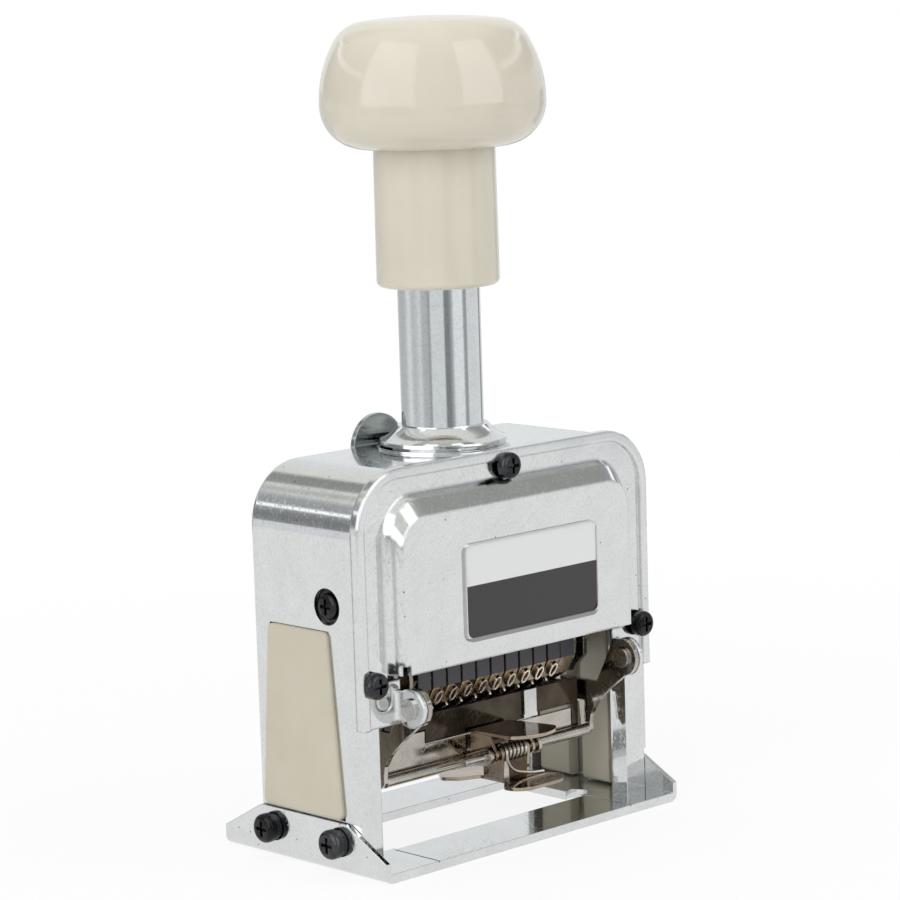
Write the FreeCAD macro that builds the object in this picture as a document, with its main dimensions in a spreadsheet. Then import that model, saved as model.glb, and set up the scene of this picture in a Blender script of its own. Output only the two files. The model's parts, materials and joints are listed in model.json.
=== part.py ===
import FreeCAD, Part
import math
import os
import Sketcher

# Self-inking numbering machine: a plunger carries ten number wheels down through
# a window in the base, while the ink frame swings out of their way.
# X runs to the viewer's right, Y to the back, Z up; the origin is the centre of
# the base's underside.

doc = FreeCAD.newDocument("numbering_machine")
sheet = doc.addObject("Spreadsheet::Sheet", "dims")
X_AXIS, Y_AXIS, Z_AXIS = (FreeCAD.Vector(1, 0, 0), FreeCAD.Vector(0, 1, 0), FreeCAD.Vector(0, 0, 1))
FULL_TURN = 360.0
WHEEL_COUNT = 10
WHEEL_FACETS = 12
NUT_SIDES = 6
ARCS_PER_TURN = 4
POINTS_PER_TURN = 60

SIZES = {
    # Base frame: pressed sheet with a window and an ear at each side
    "base_depth": 55.1, "base_sheet": 2.1, "base_bar": 14.9, "window_room": 0.65, "base_bend": 1.9, "base_hole": 2.8,
    "hole_inset": 1.35, "base_hole_y": 9.0, "ear_proud": 0.75, "ear_sheet": 1.2, "ear_height": 11.6, "ear_top_length": 29.2,
    "ear_tip_height": 4.6, "ear_screw_pitch": 22.4, "ear_screw_height": 6.8, "seam_inset": 0.65,
    "seam_width": 0.5, "seam_depth": 0.3,
    # Housing: inverted U with channel legs
    "head_rise": 50.0, "housing_front": 18.4, "housing_rear": 15.7, "housing_wall": 1.7,
    "housing_corner": 14.0, "rail_room": 4.3, "rail_width": 6.8, "rail_depth": 6.0, "rail_round": 1.6, "arch_rise": 4.4,
    "rear_arch_height": 36.0, "head_rail": 5.2, "head_round": 8.0, "boss_radius": 15.6,
    "boss_height": 0.5, "leg_foot_gap": 0.15,
    # Side inserts: the plastic guides that show through the legs
    "insert_low": 12.2, "insert_high": 54.8, "insert_low_front": 13.6, "insert_low_rear": 13.2,
    "insert_high_front": 10.1, "insert_high_rear": 9.6, "insert_proud": 1.0, "insert_round": 1.5,
    "liner_sheet": 1.4, "liner_front": 11.8, "liner_rear": 12.4, "liner_low": 2.5, "liner_rise": 11.2,
    "channel_front": 2.0, "channel_rear": 2.6, "rib_proud": 1.9, "rib_front": 10.8, "rib_round": 1.3,
    "insert_gap": 0.12,
    # Front cover: flat flange with a raised rim and a two-step pressed panel
    "cover_inset": 0.1, "cover_rise": 0.8, "cover_sheet": 1.5, "cover_corner": 13.6,
    "cover_foot_drop": 4.0, "rim_width": 2.4, "rim_proud": 0.9, "panel_inset": 8.5, "panel_drop": 6.3,
    "panel_corner": 9.0, "step_depth": 1.7, "step_inset": 1.0, "face_depth": 4.4, "face_inset": 1.9,
    "face_drop": 4.6, "lug_room": 0.4, "lug_sheet": 1.1, "lug_radius": 4.5, "lug_bend": 1.3,
    "relief_height": 1.4, "tongue_inset": 3.8, "tongue_radius": 2.25, "tongue_rise": 3.6,
    "tongue_height": 5.1, "slit_width": 0.3, "nib_inset": 1.6, "nib_width": 1.9, "nib_height": 2.2,
    # Label plate
    "label_width": 43.2, "label_height": 22.6, "label_rise": 4.5, "label_shift": 3.5, "label_sheet": 0.6,
    "label_round": 2.2, "label_rim": 0.35, "label_ledge": 0.95, "label_recess": 0.25,
    # Screws and washers
    "cover_screw_inset": 3.6, "cover_screw_rise": 10.2, "cover_screw_drop": 3.7, "screw_head": 3.05,
    "screw_head_height": 2.2, "screw_shank": 1.4, "screw_reach": 4.2, "ear_screw_head": 3.4,
    "ear_screw_head_height": 2.3, "washer_sheet": 0.8, "washer_radius": 3.1, "washer_bore": 1.7,
    "washer_split": 0.6, "cross_width": 0.8, "cross_depth": 0.9, "cross_length": 3.6, "side_screw_y": 9.9,
    "side_screw_rise": 5.8, "side_hole": 4.2, "side_flange_sheet": 0.5,
    # Guide tube, collar and their fastening
    "tube_radius": 9.6, "tube_bore": 8.2, "stroke": 30.2, "collar_rise": 0.55, "collar_lip": 0.9,
    "collar_radius": 14.9, "collar_neck": 10.6, "collar_height": 4.2, "bush_height": 8.0,
    "nut_radius": 13.4, "nut_height": 4.4, "running_gap": 0.06,
    # Plunger and handle
    "knob_height": 30.1, "knob_radius": 26.1, "sleeve_grip": 32.0, "belly_rise": 11.1,
    "shoulder_drop": 6.4, "crown_drop": 0.9, "crown_width": 15.4, "shoulder_width": 22.9,
    "belly_round": 10.2, "side_round": 27.5, "shoulder_round": 9.1, "sleeve_radius": 14.3,
    "sleeve_bore": 10.4, "sleeve_clear": 2.05, "sleeve_taper": 0.3, "sleeve_edge": 1.6,
    "sleeve_seat": 18.1, "knob_neck": 1.2, "rod_radius": 4.0, "rod_drop": 5.0, "spring_inner": 4.7,
    "spring_outer": 7.5,
    # Number wheels on their shaft, from the bank's left end
    "wheel_y": 6.0, "wheel_z": 40.4, "wheel_radius": 9.5, "bank_shift": 0.495, "drum_width": 4.0,
    "ratchet_width": 0.45, "ratchet_radius": 8.6, "ratchet_root": 7.6, "wheel_shaft": 2.5,
    "wheel_gap": 0.24, "spacer_radius": 4.2,
    # Carriage that carries the wheels
    "bank_room": 4.505, "plate_sheet": 1.2, "plate_drop": 7.6, "plate_front": 14.4, "plate_rear": 11.5,
    "crosshead_sheet": 5.4, "plate_chamfer": 4.4, "wheel_headroom": 2.7, "crosshead_depth": 13.0,
    "lug_height": 15.0, "lug_rise": 2.7, "lug_gap": 0.3, "lug_end_gap": 0.13, "shaft_end": 0.9,
    "tie_radius": 1.3, "tie_y": 9.2, "tie_rise": 2.2, "stop_radius": 6.4, "stop_height": 2.0,
    "stop_gap": 0.3, "stop_room": 0.8,
    # Detent comb over the wheels
    "comb_sheet": 0.5, "comb_rise": 1.2, "comb_root": 2.0, "comb_finger": 3.2, "comb_gap": 0.35,
    "comb_flange": 4.0,
    # Feed frame and pawls
    "feed_arm": 1.1, "feed_gap": 0.35, "feed_disc": 8.5, "feed_shaft": 1.1, "feed_reach": 15.4,
    "feed_drop": 3.8, "pawl_sheet": 0.3, "pawl_ring": 2.0, "pawl_lift": 0.35, "pawl_tip": 1.1,
    "feed_web": 0.8, "feed_web_height": 3.6, "feed_web_gap": 0.25,
    # Ink frame that swings on rivets in the cover's lugs
    "pivot_reach": 18.2, "pivot_drop": 3.1, "arm_room": 1.7, "arm_sheet": 1.2, "arm_hub": 4.4,
    "bar_reach": 12.4, "bar_drop": 19.3, "bar_radius": 1.4, "arm_rise": 5.6, "arm_tail": 0.3,
    "arm_neck_reach": 8.7, "arm_back_reach": 2.2, "apron_drop": 0.8, "apron_left_rise": 2.5,
    "apron_left_reach": 14.1, "post_width": 2.1, "rivet_radius": 1.5, "rivet_head": 2.4,
    "rivet_head_height": 0.7,
    # Pad holder, felt and latch
    "holder_end_gap": 1.6, "holder_pin": 1.2, "holder_pin_reach": 0.3, "holder_pin_rise": 2.6,
    "holder_reach": 4.7, "holder_tail": 4.1, "holder_sheet": 0.8, "holder_depth": 6.3,
    "holder_rear_drop": 1.2, "holder_gap": 0.3, "window_width": 12.3, "window_rise": 0.5,
    "post_rise": 1.2, "felt_gap": 0.3, "felt_clear": 0.35, "type_height": 0.8, "latch_inset": 2.15,
    "latch_width": 4.1, "latch_rise": 0.1, "latch_drop": 0.3, "latch_sheet": 0.6, "latch_foot": 4.6,
    "latch_foot_height": 0.9,
    # Spring clip on the ink frame's bar
    "clip_x": 1.05, "clip_reach": 6.6, "clip_rise": 1.9, "clip_rod": 0.9, "clip_rod_tail": 15.35,
    "clip_rod_nose": 8.15, "clip_sheet": 0.8, "clip_eye": 1.7, "bracket_x": 7.9, "bracket_sheet": 0.9,
    "bracket_eye": 2.0, "tab_half": 6.4, "tab_front_half": 7.4, "tab_gap": 0.9, "tab_side": 14.2,
    "tab_bow": 3.9, "tab_height": 5.2, "tab_rise": 0.6, "tab_cheek_back": 0.9, "tab_cheek_rise": 0.6,
    "leaf_drop": 5.9, "leaf_length": 28.7, "leaf_reach": 11.3, "leaf_half": 12.0, "leaf_corner": 4.5,
    "leaf_round": 1.5, "leaf_cheek": 4.55, "leaf_cheek_gap": 0.5, "leaf_cheek_rise": 2.3,
    "leaf_cheek_toe": 1.1, "coil_radius": 1.75, "coil_wire": 0.38, "coil_turns": 5.0, "coil_pitch": 1.25,
    "coil_leg": 4.6, "coil_tip_side": 6.85, "coil_tip_reach": 3.7,
    # Rear lock lever and repeat dial
    "lever_x": 5.8, "lever_pivot_drop": 16.4, "lever_sheet": 1.3, "lever_rise": 7.0, "lever_tab": 7.9,
    "lever_arm": 3.4, "lever_gap": 0.25, "lever_screw": 1.5, "lever_screw_head": 2.7,
    "lever_head_height": 1.1, "dial_x": 15.0, "dial_drop": 28.4, "dial_radius": 8.6, "dial_height": 2.4,
    "dial_grip": 3.0, "dial_grip_width": 2.4, "dial_stem": 2.0, "dial_keeper": 3.2,
    "dial_keeper_sheet": 0.7, "overrun": 1.0,
}

# Places on the ink frame's arm, as shares of the way from its pivot to the bar
ARM_EDGE_SHARES = ((-0.04, 0.233), (0.355, 0.43), (0.694, 0.627), (0.863, 0.793), (0.895, 0.917))
HUB_REAR_SHARE = 0.7
# Half outline of the clip's leaf: shares of its half width and of its length from the rear
LEAF_SHARES = ((0.625, 0), (1, 0.209), (0.79, 0.331), (0.367, 0.401), (0.367, 0.679), (0.717, 0.815), (0.717, 1))
COIL_START_SHARE = -1 / 6


class Size:
    """A length that carries its number and the sheet formula that gives it."""

    def __init__(self, number, formula):
        self.number = number
        self.formula = formula

    def __float__(self):
        return float(self.number)

    def __neg__(self):
        return Size(-self.number, f"(0 - {self.formula})")

    def __add__(self, other):
        return Size(self.number + float(other), f"({self.formula} + {text(other)})")

    def __radd__(self, other):
        return Size(float(other) + self.number, f"({text(other)} + {self.formula})")

    def __sub__(self, other):
        return Size(self.number - float(other), f"({self.formula} - {text(other)})")

    def __rsub__(self, other):
        return Size(float(other) - self.number, f"({text(other)} - {self.formula})")

    def __mul__(self, share):
        return Size(self.number * float(share), f"({self.formula} * {text(share)})")

    __rmul__ = __mul__

    def __truediv__(self, divisor):
        return Size(self.number / float(divisor), f"({self.formula} / {text(divisor)})")


def text(term):
    return term.formula if isinstance(term, Size) else repr(float(term))


class Sizes:
    """The driving dimensions: each one is a named cell of the sheet."""

    def __init__(self, values):
        for row, (name, value) in enumerate(values.items(), 1):
            sheet.set(f"A{row}", name)
            sheet.set(f"B{row}", repr(value))
            sheet.setAlias(f"B{row}", name)
            setattr(self, name, Size(value, f"dims.{name}"))


S = Sizes(SIZES)
overrun = S.overrun

# Across the machine: the wheel bank, then each piece outside the last
wheel_pitch = S.ratchet_width + S.drum_width + S.wheel_gap
half_bank = wheel_pitch * (WHEEL_COUNT + 1) / 2
bank_low = S.bank_shift - half_bank
comb_right = bank_low + wheel_pitch * WHEEL_COUNT
bank_high = bank_low + half_bank + half_bank
plate_inner = half_bank + S.bank_room
plate_face = plate_inner + S.plate_sheet
arm_in = plate_face + S.arm_room
arm_face = arm_in + S.arm_sheet
holder_half = arm_in - S.holder_end_gap
post_x = holder_half - S.post_width
window_right = post_x - S.window_width
apron_step = arm_in - S.apron_left_reach
lug_in = arm_face + S.lug_room
lug_face = lug_in + S.lug_sheet
half_width = lug_face + S.rail_room + S.rail_width
half_base = half_width + S.ear_proud
half_cover = half_width - S.cover_inset
half_panel = half_width - S.panel_inset
window_x = plate_inner + S.window_room

# From front to back
half_depth = S.base_depth / 2
window_y = half_depth - S.base_bar
front_y = -S.housing_front
cover_face = front_y - S.cover_sheet
panel_face = cover_face - S.face_depth
wheel_centre = (-S.wheel_y, S.wheel_z)
pivot = (wheel_centre[0] - S.pivot_reach, wheel_centre[1] - S.pivot_drop)
bar = (pivot[0] + S.bar_reach, pivot[1] - S.bar_drop)
clip = (bar[0] - S.clip_reach, bar[1] + S.clip_rise)
feed_at = (wheel_centre[0] + S.feed_reach, wheel_centre[1] - S.feed_drop)
holder_front = wheel_centre[0] - S.holder_reach
holder_rear = wheel_centre[0] + S.holder_tail

# From the base up
wheel_apothem = S.wheel_radius * math.cos(math.pi / WHEEL_FACETS)
holder_top = S.wheel_z - S.wheel_radius
holder_floor = holder_top - S.holder_depth
holder_pin_at = (wheel_centre[0] - S.holder_pin_reach, holder_floor + S.holder_pin_rise)
crosshead_low = S.wheel_z + S.wheel_radius + S.wheel_headroom
plate_low = S.wheel_z - S.plate_drop
plate_high = crosshead_low + S.crosshead_sheet
tie_z = crosshead_low + S.tie_rise
arch_height = S.wheel_z + S.arch_rise
housing_top = S.wheel_z + S.head_rise
cover_foot = pivot[1] - S.cover_foot_drop
cover_top = housing_top + S.cover_rise
panel_top = cover_top - S.panel_drop
side_screw_at = (-S.side_screw_y, S.insert_high + S.side_screw_rise)
liner_high = S.insert_high + S.liner_rise
head_underside = housing_top - S.housing_wall
boss_top = housing_top + S.boss_height
tube_foot = head_underside - S.nut_height
collar_low = boss_top + S.collar_rise
collar_top = collar_low + S.collar_height
sleeve_low = collar_top + S.stroke + S.sleeve_clear
knob_low = sleeve_low + S.sleeve_grip
sleeve_top = knob_low + S.sleeve_seat
tube_top = sleeve_top - S.stroke - S.stop_room
overall_height = knob_low + S.knob_height
rod_top = overall_height - S.rod_drop
PIECES = []


def vec(x, y, z):
    return FreeCAD.Vector(float(x), float(y), float(z))


def ordered(first, second):
    return sorted((first, second), key=float)


def box(first, last):
    """Plain box between two opposite corners."""
    spans = [sorted(pair) for pair in zip(vec(*first), vec(*last))]
    return Part.makeBox(*[high - low for low, high in spans], vec(*[low for low, high in spans]))


def rod(start, end, radius):
    """Cylinder between two points."""
    start, end = vec(*start), vec(*end)
    return Part.makeCylinder(float(radius), (end - start).Length, start, end - start)


def rod_x(x_low, x_high, centre, radius):
    """Cylinder along X about a (y, z) centre."""
    return rod((x_low, *centre), (x_high, *centre), radius)


def rod_y(y_low, y_high, x, z, radius):
    return rod((x, y_low, z), (x, y_high, z), radius)


def plate_yz(first_x, last_x, points):
    """Flat piece of constant thickness in X, from (y, z) corners."""
    low, high = ordered(first_x, last_x)
    corners = [vec(low, y, z) for y, z in points]
    return Part.Face(Part.makePolygon(corners + corners[:1])).extrude(vec(high - low, 0, 0))


def slab_xy(z_low, z_high, points):
    """Flat piece of constant thickness in Z, from (x, y) corners."""
    corners = [vec(x, y, z_low) for x, y in points]
    return Part.Face(Part.makePolygon(corners + corners[:1])).extrude(vec(0, 0, z_high - z_low))


def middle_of(edge):
    return edge.valueAt((edge.FirstParameter + edge.LastParameter) / 2)


def edges_where(shape, test):
    """Edges whose middle point passes the test."""
    return [edge for edge in shape.Edges if test(middle_of(edge), edge)]


def along(edge, direction):
    """True for a straight edge that runs along the direction."""
    if len(edge.Vertexes) < 2 or edge.Curve.TypeId != "Part::GeomLine":
        return False
    return edge.tangentAt(edge.FirstParameter).cross(direction).Length < math.radians(1)


def near(first, second):
    return abs(float(first) - float(second)) < float(S.running_gap)


def mirrored(shape):
    return shape.mirror(vec(0, 0, 0), X_AXIS)


def fused(shapes):
    whole = shapes[0].multiFuse(shapes[1:]) if len(shapes) > 1 else shapes[0]
    return whole.removeSplitter()


def as_piece(item, name):
    item.Label = name
    PIECES.append(item)
    return item


def feature(name, shape):
    """A sub-part whose outline is worked out from the sheet in this file."""
    piece = doc.addObject("Part::Feature", name)
    piece.Shape = shape
    piece.Placement = FreeCAD.Placement()
    return as_piece(piece, name)


def bound(kind, name, turn=None, **formulas):
    """A primitive whose properties are bound to the sheet."""
    piece = doc.addObject("Part::" + kind, name)
    if turn is not None:
        piece.Placement = FreeCAD.Placement(vec(0, 0, 0), turn)
    for key, size in formulas.items():
        place = {"x": "Placement.Base.x", "y": "Placement.Base.y", "z": "Placement.Base.z"}.get(key, key)
        piece.setExpression(place, text(size))
    return piece


turn_x = FreeCAD.Rotation(Y_AXIS, FULL_TURN / 4)


def new_body(name):
    return as_piece(doc.addObject("PartDesign::Body", name), name)


def sketch_on(body, role, offset, corners=(), circles=()):
    """Closed outline on an origin plane; a corner's third value rounds the run that ends there."""
    plane = [item for item in body.Origin.OriginFeatures if item.Role == role][0]
    sketch = body.newObject("Sketcher::SketchObject", body.Name + "Sketch")
    sketch.AttachmentSupport = (plane, [""])
    sketch.MapMode = "FlatFace"
    sketch.setExpression("AttachmentOffset.Base.z", text(offset))
    flat = [vec(corner[0], corner[1], 0) for corner in corners]
    ends = []
    for index, corner in enumerate(corners):
        start, end = flat[index - 1], flat[index]
        if len(corner) > 2:
            chord = end - start
            radius = abs(float(corner[2]))
            rise = radius - math.sqrt(max(radius ** 2 - (chord.Length / 2) ** 2, 0.0))
            side = vec(chord.y, -chord.x, 0).normalize() * math.copysign(rise, float(corner[2]))
            bulge = (start + end) / 2 + side
            ordered = (start, bulge, end) if float(corner[2]) > 0 else (end, bulge, start)
            item = sketch.addGeometry(Part.Arc(*ordered), False)
            bend = sketch.addConstraint(Sketcher.Constraint("Radius", item, radius))
            sketch.setExpression(f"Constraints[{bend}]", f"abs({text(corner[2])})")
        else:
            item = sketch.addGeometry(Part.LineSegment(start, end), False)
        forward = (sketch.Geometry[item].StartPoint - start).Length < (sketch.Geometry[item].EndPoint - start).Length
        ends.append((item, (1, 2) if forward else (2, 1)))
    for index, corner in enumerate(corners):
        item, (first, last) = ends[index]
        following, (next_first, next_last) = ends[(index + 1) % len(ends)]
        sketch.addConstraint(Sketcher.Constraint("Coincident", item, last, following, next_first))
        for kind, size in (("DistanceX", corner[0]), ("DistanceY", corner[1])):
            held = sketch.addConstraint(Sketcher.Constraint(kind, -1, 1, item, last, float(size)))
            sketch.setExpression(f"Constraints[{held}]", text(size))
    for across, up, radius in circles:
        item = sketch.addGeometry(Part.Circle(vec(across, up, 0), Z_AXIS, float(radius)), False)
        for constraint, size in ((("DistanceX", -1, 1, item, 3), across), (("DistanceY", -1, 1, item, 3), up),
                                 (("Radius", item), radius)):
            held = sketch.addConstraint(Sketcher.Constraint(*constraint, float(size)))
            sketch.setExpression(f"Constraints[{held}]", text(size))
    return sketch


def pad(body, sketch, length, reverse=False):
    made = body.newObject("PartDesign::Pad", body.Name + "Pad")
    made.Profile = sketch
    made.Reversed = reverse
    made.setExpression("Length", text(length))
    return made


def pocket(body, sketch, length, reverse=False):
    made = body.newObject("PartDesign::Pocket", body.Name + "Pocket")
    made.Profile = sketch
    made.Reversed = reverse
    made.setExpression("Length", text(length))
    return made


def revolved(name, corners):
    """Body turned about the Z axis from an (r, z) outline."""
    body = new_body(name)
    sketch = sketch_on(body, "XZ_Plane", 0.0, corners)
    turned = body.newObject("PartDesign::Revolution", name + "Turn")
    turned.Profile = sketch
    turned.ReferenceAxis = (sketch, ["V_Axis"])
    turned.Angle = FULL_TURN
    return body


def arch(y, half, low, top, corner):
    """Inverted-U outline with round upper corners, in a plane of constant Y."""
    cut = corner * (1 - math.sqrt(0.5))
    corners = {"foot_left": vec(-half, y, low), "side_left": vec(-half, y, top - corner),
               "bend_left": vec(-half + cut, y, top - cut), "top_left": vec(-half + corner, y, top),
               "top_right": vec(half - corner, y, top), "bend_right": vec(half - cut, y, top - cut),
               "side_right": vec(half, y, top - corner), "foot_right": vec(half, y, low)}
    runs = [("foot_left", "side_left"), ("side_left", "bend_left", "top_left"), ("top_left", "top_right"),
            ("top_right", "bend_right", "side_right"), ("side_right", "foot_right"), ("foot_right", "foot_left")]
    edges = []
    for run in runs:
        points = [corners[key] for key in run]
        curve = Part.Arc(*points) if len(points) == 3 else Part.LineSegment(*points)
        edges.append(curve.toShape())
    return Part.Wire(edges)


def arch_block(y_low, y_high, half, low, top, corner):
    return Part.Face(arch(y_low, half, low, top, corner)).extrude(vec(0, y_high - y_low, 0))


# Base frame
def ear_outline():
    half_top = S.ear_top_length / 2
    return [(-half_depth, 0), (half_depth, 0), (half_depth, S.ear_tip_height), (half_top, S.ear_height),
            (-half_top, S.ear_height), (-half_depth, S.ear_tip_height)]


def rounded(body, radius, test):
    """Round the body's edges that pass the test."""
    doc.recompute()
    tip = body.Tip
    names = [f"Edge{place}" for place, edge in enumerate(tip.Shape.Edges, 1) if test(middle_of(edge), edge)]
    made = body.newObject("PartDesign::Fillet", body.Name + "Fillet")
    made.Base = (tip, names)
    made.setExpression("Radius", text(radius))


def rectangle(low_x, high_x, low_y, high_y):
    return [(high_x, high_y), (low_x, high_y), (low_x, low_y), (high_x, low_y)]


base_frame = new_body("base_frame")
pad(base_frame, sketch_on(base_frame, "XY_Plane", 0.0, rectangle(-half_base, half_base, -half_depth, half_depth)),
    S.base_sheet)
pocket(base_frame, sketch_on(base_frame, "XY_Plane", 0.0, rectangle(-window_x, window_x, -window_y, window_y)),
       S.base_sheet + overrun, reverse=True)
for side in (-1, 1):
    pad(base_frame, sketch_on(base_frame, "YZ_Plane", half_base * side, ear_outline()), S.ear_sheet, side > 0)
rounded(base_frame, S.base_bend, lambda middle, edge: along(edge, Y_AXIS) and near(middle.z, 0)
        and near(abs(middle.x), half_base))
pocket(base_frame, sketch_on(base_frame, "YZ_Plane", -half_base - overrun, circles=[
    (S.ear_screw_pitch / 2 * end, S.ear_screw_height, S.screw_shank + S.running_gap) for end in (-1, 1)]),
    half_base + half_base + overrun + overrun, reverse=True)
pocket(base_frame, sketch_on(base_frame, "XY_Plane", 0.0, circles=[
    ((window_x + S.hole_inset) * side, S.base_hole_y * end, S.base_hole) for side in (-1, 1) for end in (-1, 1)]),
    S.base_sheet + overrun, reverse=True)
for side in (-1, 1):
    middle = (window_x + S.seam_inset) * side
    low, high = middle - S.seam_width / 2, middle + S.seam_width / 2
    pocket(base_frame, sketch_on(base_frame, "XY_Plane", S.base_sheet,
                                 rectangle(low, high, -half_depth, -window_y)), S.seam_depth)


# Housing: outer arch, hollow legs and head, windows for the inserts
def insert_outline(grow):
    return [(-S.insert_low_front - grow, S.insert_low - grow), (S.insert_low_rear + grow, S.insert_low - grow),
            (S.insert_high_rear + grow, S.insert_high + grow), (-S.insert_high_front - grow, S.insert_high + grow)]


def housing_leg_cuts(side):
    """Cuts in one leg: its foot over the ear, the insert's window and the screw holes."""
    foot = half_base - S.ear_sheet - S.leg_foot_gap
    floor = (half_width - S.housing_wall - S.insert_gap - S.insert_gap) * side
    outside = (half_width + overrun) * side
    cuts = [box((foot * side, front_y - overrun, S.base_sheet - overrun),
                (outside, S.housing_rear + overrun, S.ear_height + S.leg_foot_gap)),
            plate_yz(floor, outside, insert_outline(S.insert_gap)),
            rod_x(floor, outside, side_screw_at, S.side_hole)]
    for end in (-1, 1):
        at = (S.ear_screw_pitch / 2 * end, S.ear_screw_height)
        inside = (half_width - S.housing_wall - overrun) * side
        cuts.append(rod_x(inside, outside, at, S.screw_shank + S.running_gap))
    return cuts


def housing_shape():
    inner = half_width - S.housing_wall
    rear_in, rear_out = S.housing_rear - S.housing_wall, S.housing_rear + overrun
    foot_low, head_low = S.base_sheet - overrun, housing_top - S.head_rail
    shell = arch_block(front_y, S.housing_rear, half_width, S.base_sheet, housing_top, S.housing_corner)
    shell = shell.makeFillet(float(S.rail_round), edges_where(
        shell, lambda middle, edge: near(middle.y, S.housing_rear) and middle.z > float(S.base_sheet + overrun)))
    shell = shell.fuse(rod((0, 0, housing_top - S.housing_wall), (0, 0, housing_top + S.boss_height), S.boss_radius))
    cuts = [arch_block(front_y + S.rail_depth, rear_in, inner, foot_low, housing_top - S.housing_wall,
                       S.housing_corner - S.housing_wall),
            arch_block(front_y - overrun, front_y + S.rail_depth + overrun, half_width - S.rail_width, foot_low,
                       head_low, S.head_round),
            box((-half_width + S.rail_width, rear_in - overrun, foot_low),
                (half_width - S.rail_width, rear_out, S.rear_arch_height)),
            rod((0, 0, head_low), (0, 0, housing_top + S.boss_height + overrun), S.tube_radius + S.running_gap),
            rod_y(rear_in - overrun, rear_out, S.dial_x, housing_top - S.dial_drop, S.dial_stem + S.running_gap),
            rod_y(rear_in - overrun, rear_out, -S.lever_x, housing_top - S.lever_pivot_drop, S.lever_screw + S.running_gap)]
    cuts += housing_leg_cuts(-1) + housing_leg_cuts(1)
    cuts += [rod_y(front_y - overrun, screw_tip_y(), x, z, S.screw_shank + S.running_gap)
             for x, z in cover_screw_places()]
    shell = shell.cut(Part.makeCompound(cuts))
    rail_x, rail_y = half_width - S.rail_width, front_y + S.rail_depth
    rails = edges_where(shell, lambda middle, edge: along(edge, Z_AXIS) and edge.Length > float(S.insert_high)
                        and near(abs(middle.x), rail_x) and near(middle.y, rail_y))
    return shell.makeFillet(float(S.rail_round), rails)


def cover_screw_places():
    x, z = half_width - S.cover_screw_inset, cover_foot + S.cover_screw_rise
    return [(-x, z), (x, z), (0, cover_top - S.cover_screw_drop)]


def screw_seat_y():
    return cover_face - S.rim_proud


def screw_tip_y():
    return screw_seat_y() + S.screw_reach


feature("housing", housing_shape())


# Side inserts: trapezoid plate outside, guide channel inside
def insert_shape():
    liner_out = half_width - S.housing_wall - S.insert_gap
    liner_in = liner_out - S.liner_sheet
    rib_in = liner_in - S.rib_proud
    face = half_width + S.insert_proud
    plate = plate_yz(liner_out, face, insert_outline(0))
    plate = plate.makeFillet(float(S.insert_round), edges_where(plate, lambda middle, edge: along(edge, X_AXIS)))
    plate = plate.makeFillet(float(S.insert_proud / 2), edges_where(plate, lambda middle, edge: near(middle.x, face)))
    halves = []
    for channel, outer, rib in ((-S.channel_front, -S.liner_front, -S.rib_front),
                                (S.channel_rear, S.liner_rear, S.liner_rear)):
        halves.append(box((liner_in, outer, S.liner_low), (liner_out, channel, liner_high)))
        block = box((rib_in, rib, S.liner_low), (liner_in, channel, liner_high))
        halves.append(block.makeFillet(float(S.rib_round), edges_where(
            block, lambda middle, edge: near(middle.x, rib_in) and near(middle.z, S.liner_low))))
    whole = fused([plate] + halves)
    return whole.cut(rod_x(liner_in - S.insert_gap, half_width, side_screw_at, S.screw_shank + S.running_gap))


feature("side_insert_right", insert_shape())
feature("side_insert_left", mirrored(insert_shape()))


# Front cover
def panel_solid(inset, y_shift, low):
    """Two-step pressed panel: a steep step, then a sloping shoulder to the flat face."""
    steps = [(front_y + overrun, 0, 0), (cover_face + y_shift, 0, 0),
             (cover_face - S.step_depth + y_shift, S.step_inset, S.step_inset),
             (panel_face + y_shift, S.face_inset, S.face_drop)]
    wires = [arch(y, half_panel - inset - side, low, panel_top - inset - drop, S.panel_corner - inset - side)
             for y, side, drop in steps]
    return Part.makeLoft(wires, True, True)


def lug_shapes(side):
    """Lug for the ink frame's rivet, with the bend that joins it to the flange."""
    start, end = lug_in * side, lug_face * side
    low, high = pivot[1] - S.lug_radius + S.relief_height, pivot[1] + S.lug_radius - S.relief_height / 2
    bend_x, bend_y = (lug_face + S.lug_bend) * side, cover_face - S.lug_bend
    bend = box((end, bend_y, low), (bend_x, cover_face, high))
    bend = bend.cut(rod((bend_x, bend_y, low - overrun), (bend_x, bend_y, high + overrun), S.lug_bend))
    return [rod_x(start, end, pivot, S.lug_radius), box((start, pivot[0], low), (end, front_y, high)), bend]


def tongue_slit():
    """U-shaped slit beside the left foot screw."""
    start, end = cover_face - overrun, front_y + overrun
    x, turn_z = -lug_face - S.tongue_inset, cover_foot + S.tongue_rise + S.tongue_radius
    outer, inner = S.tongue_radius + S.slit_width / 2, S.tongue_radius - S.slit_width / 2
    ring = rod_y(start, end, x, turn_z, outer).cut(rod_y(start - overrun, end + overrun, x, turn_z, inner))
    ring = ring.cut(box((x - outer - overrun, start - overrun, turn_z), (x + outer + overrun, end + overrun, cover_top)))
    sides = [box((x + inner * side, start, turn_z), (x + outer * side, end, cover_foot + S.tongue_rise + S.tongue_height)) for side in (-1, 1)]
    return fused([ring] + sides)


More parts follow.
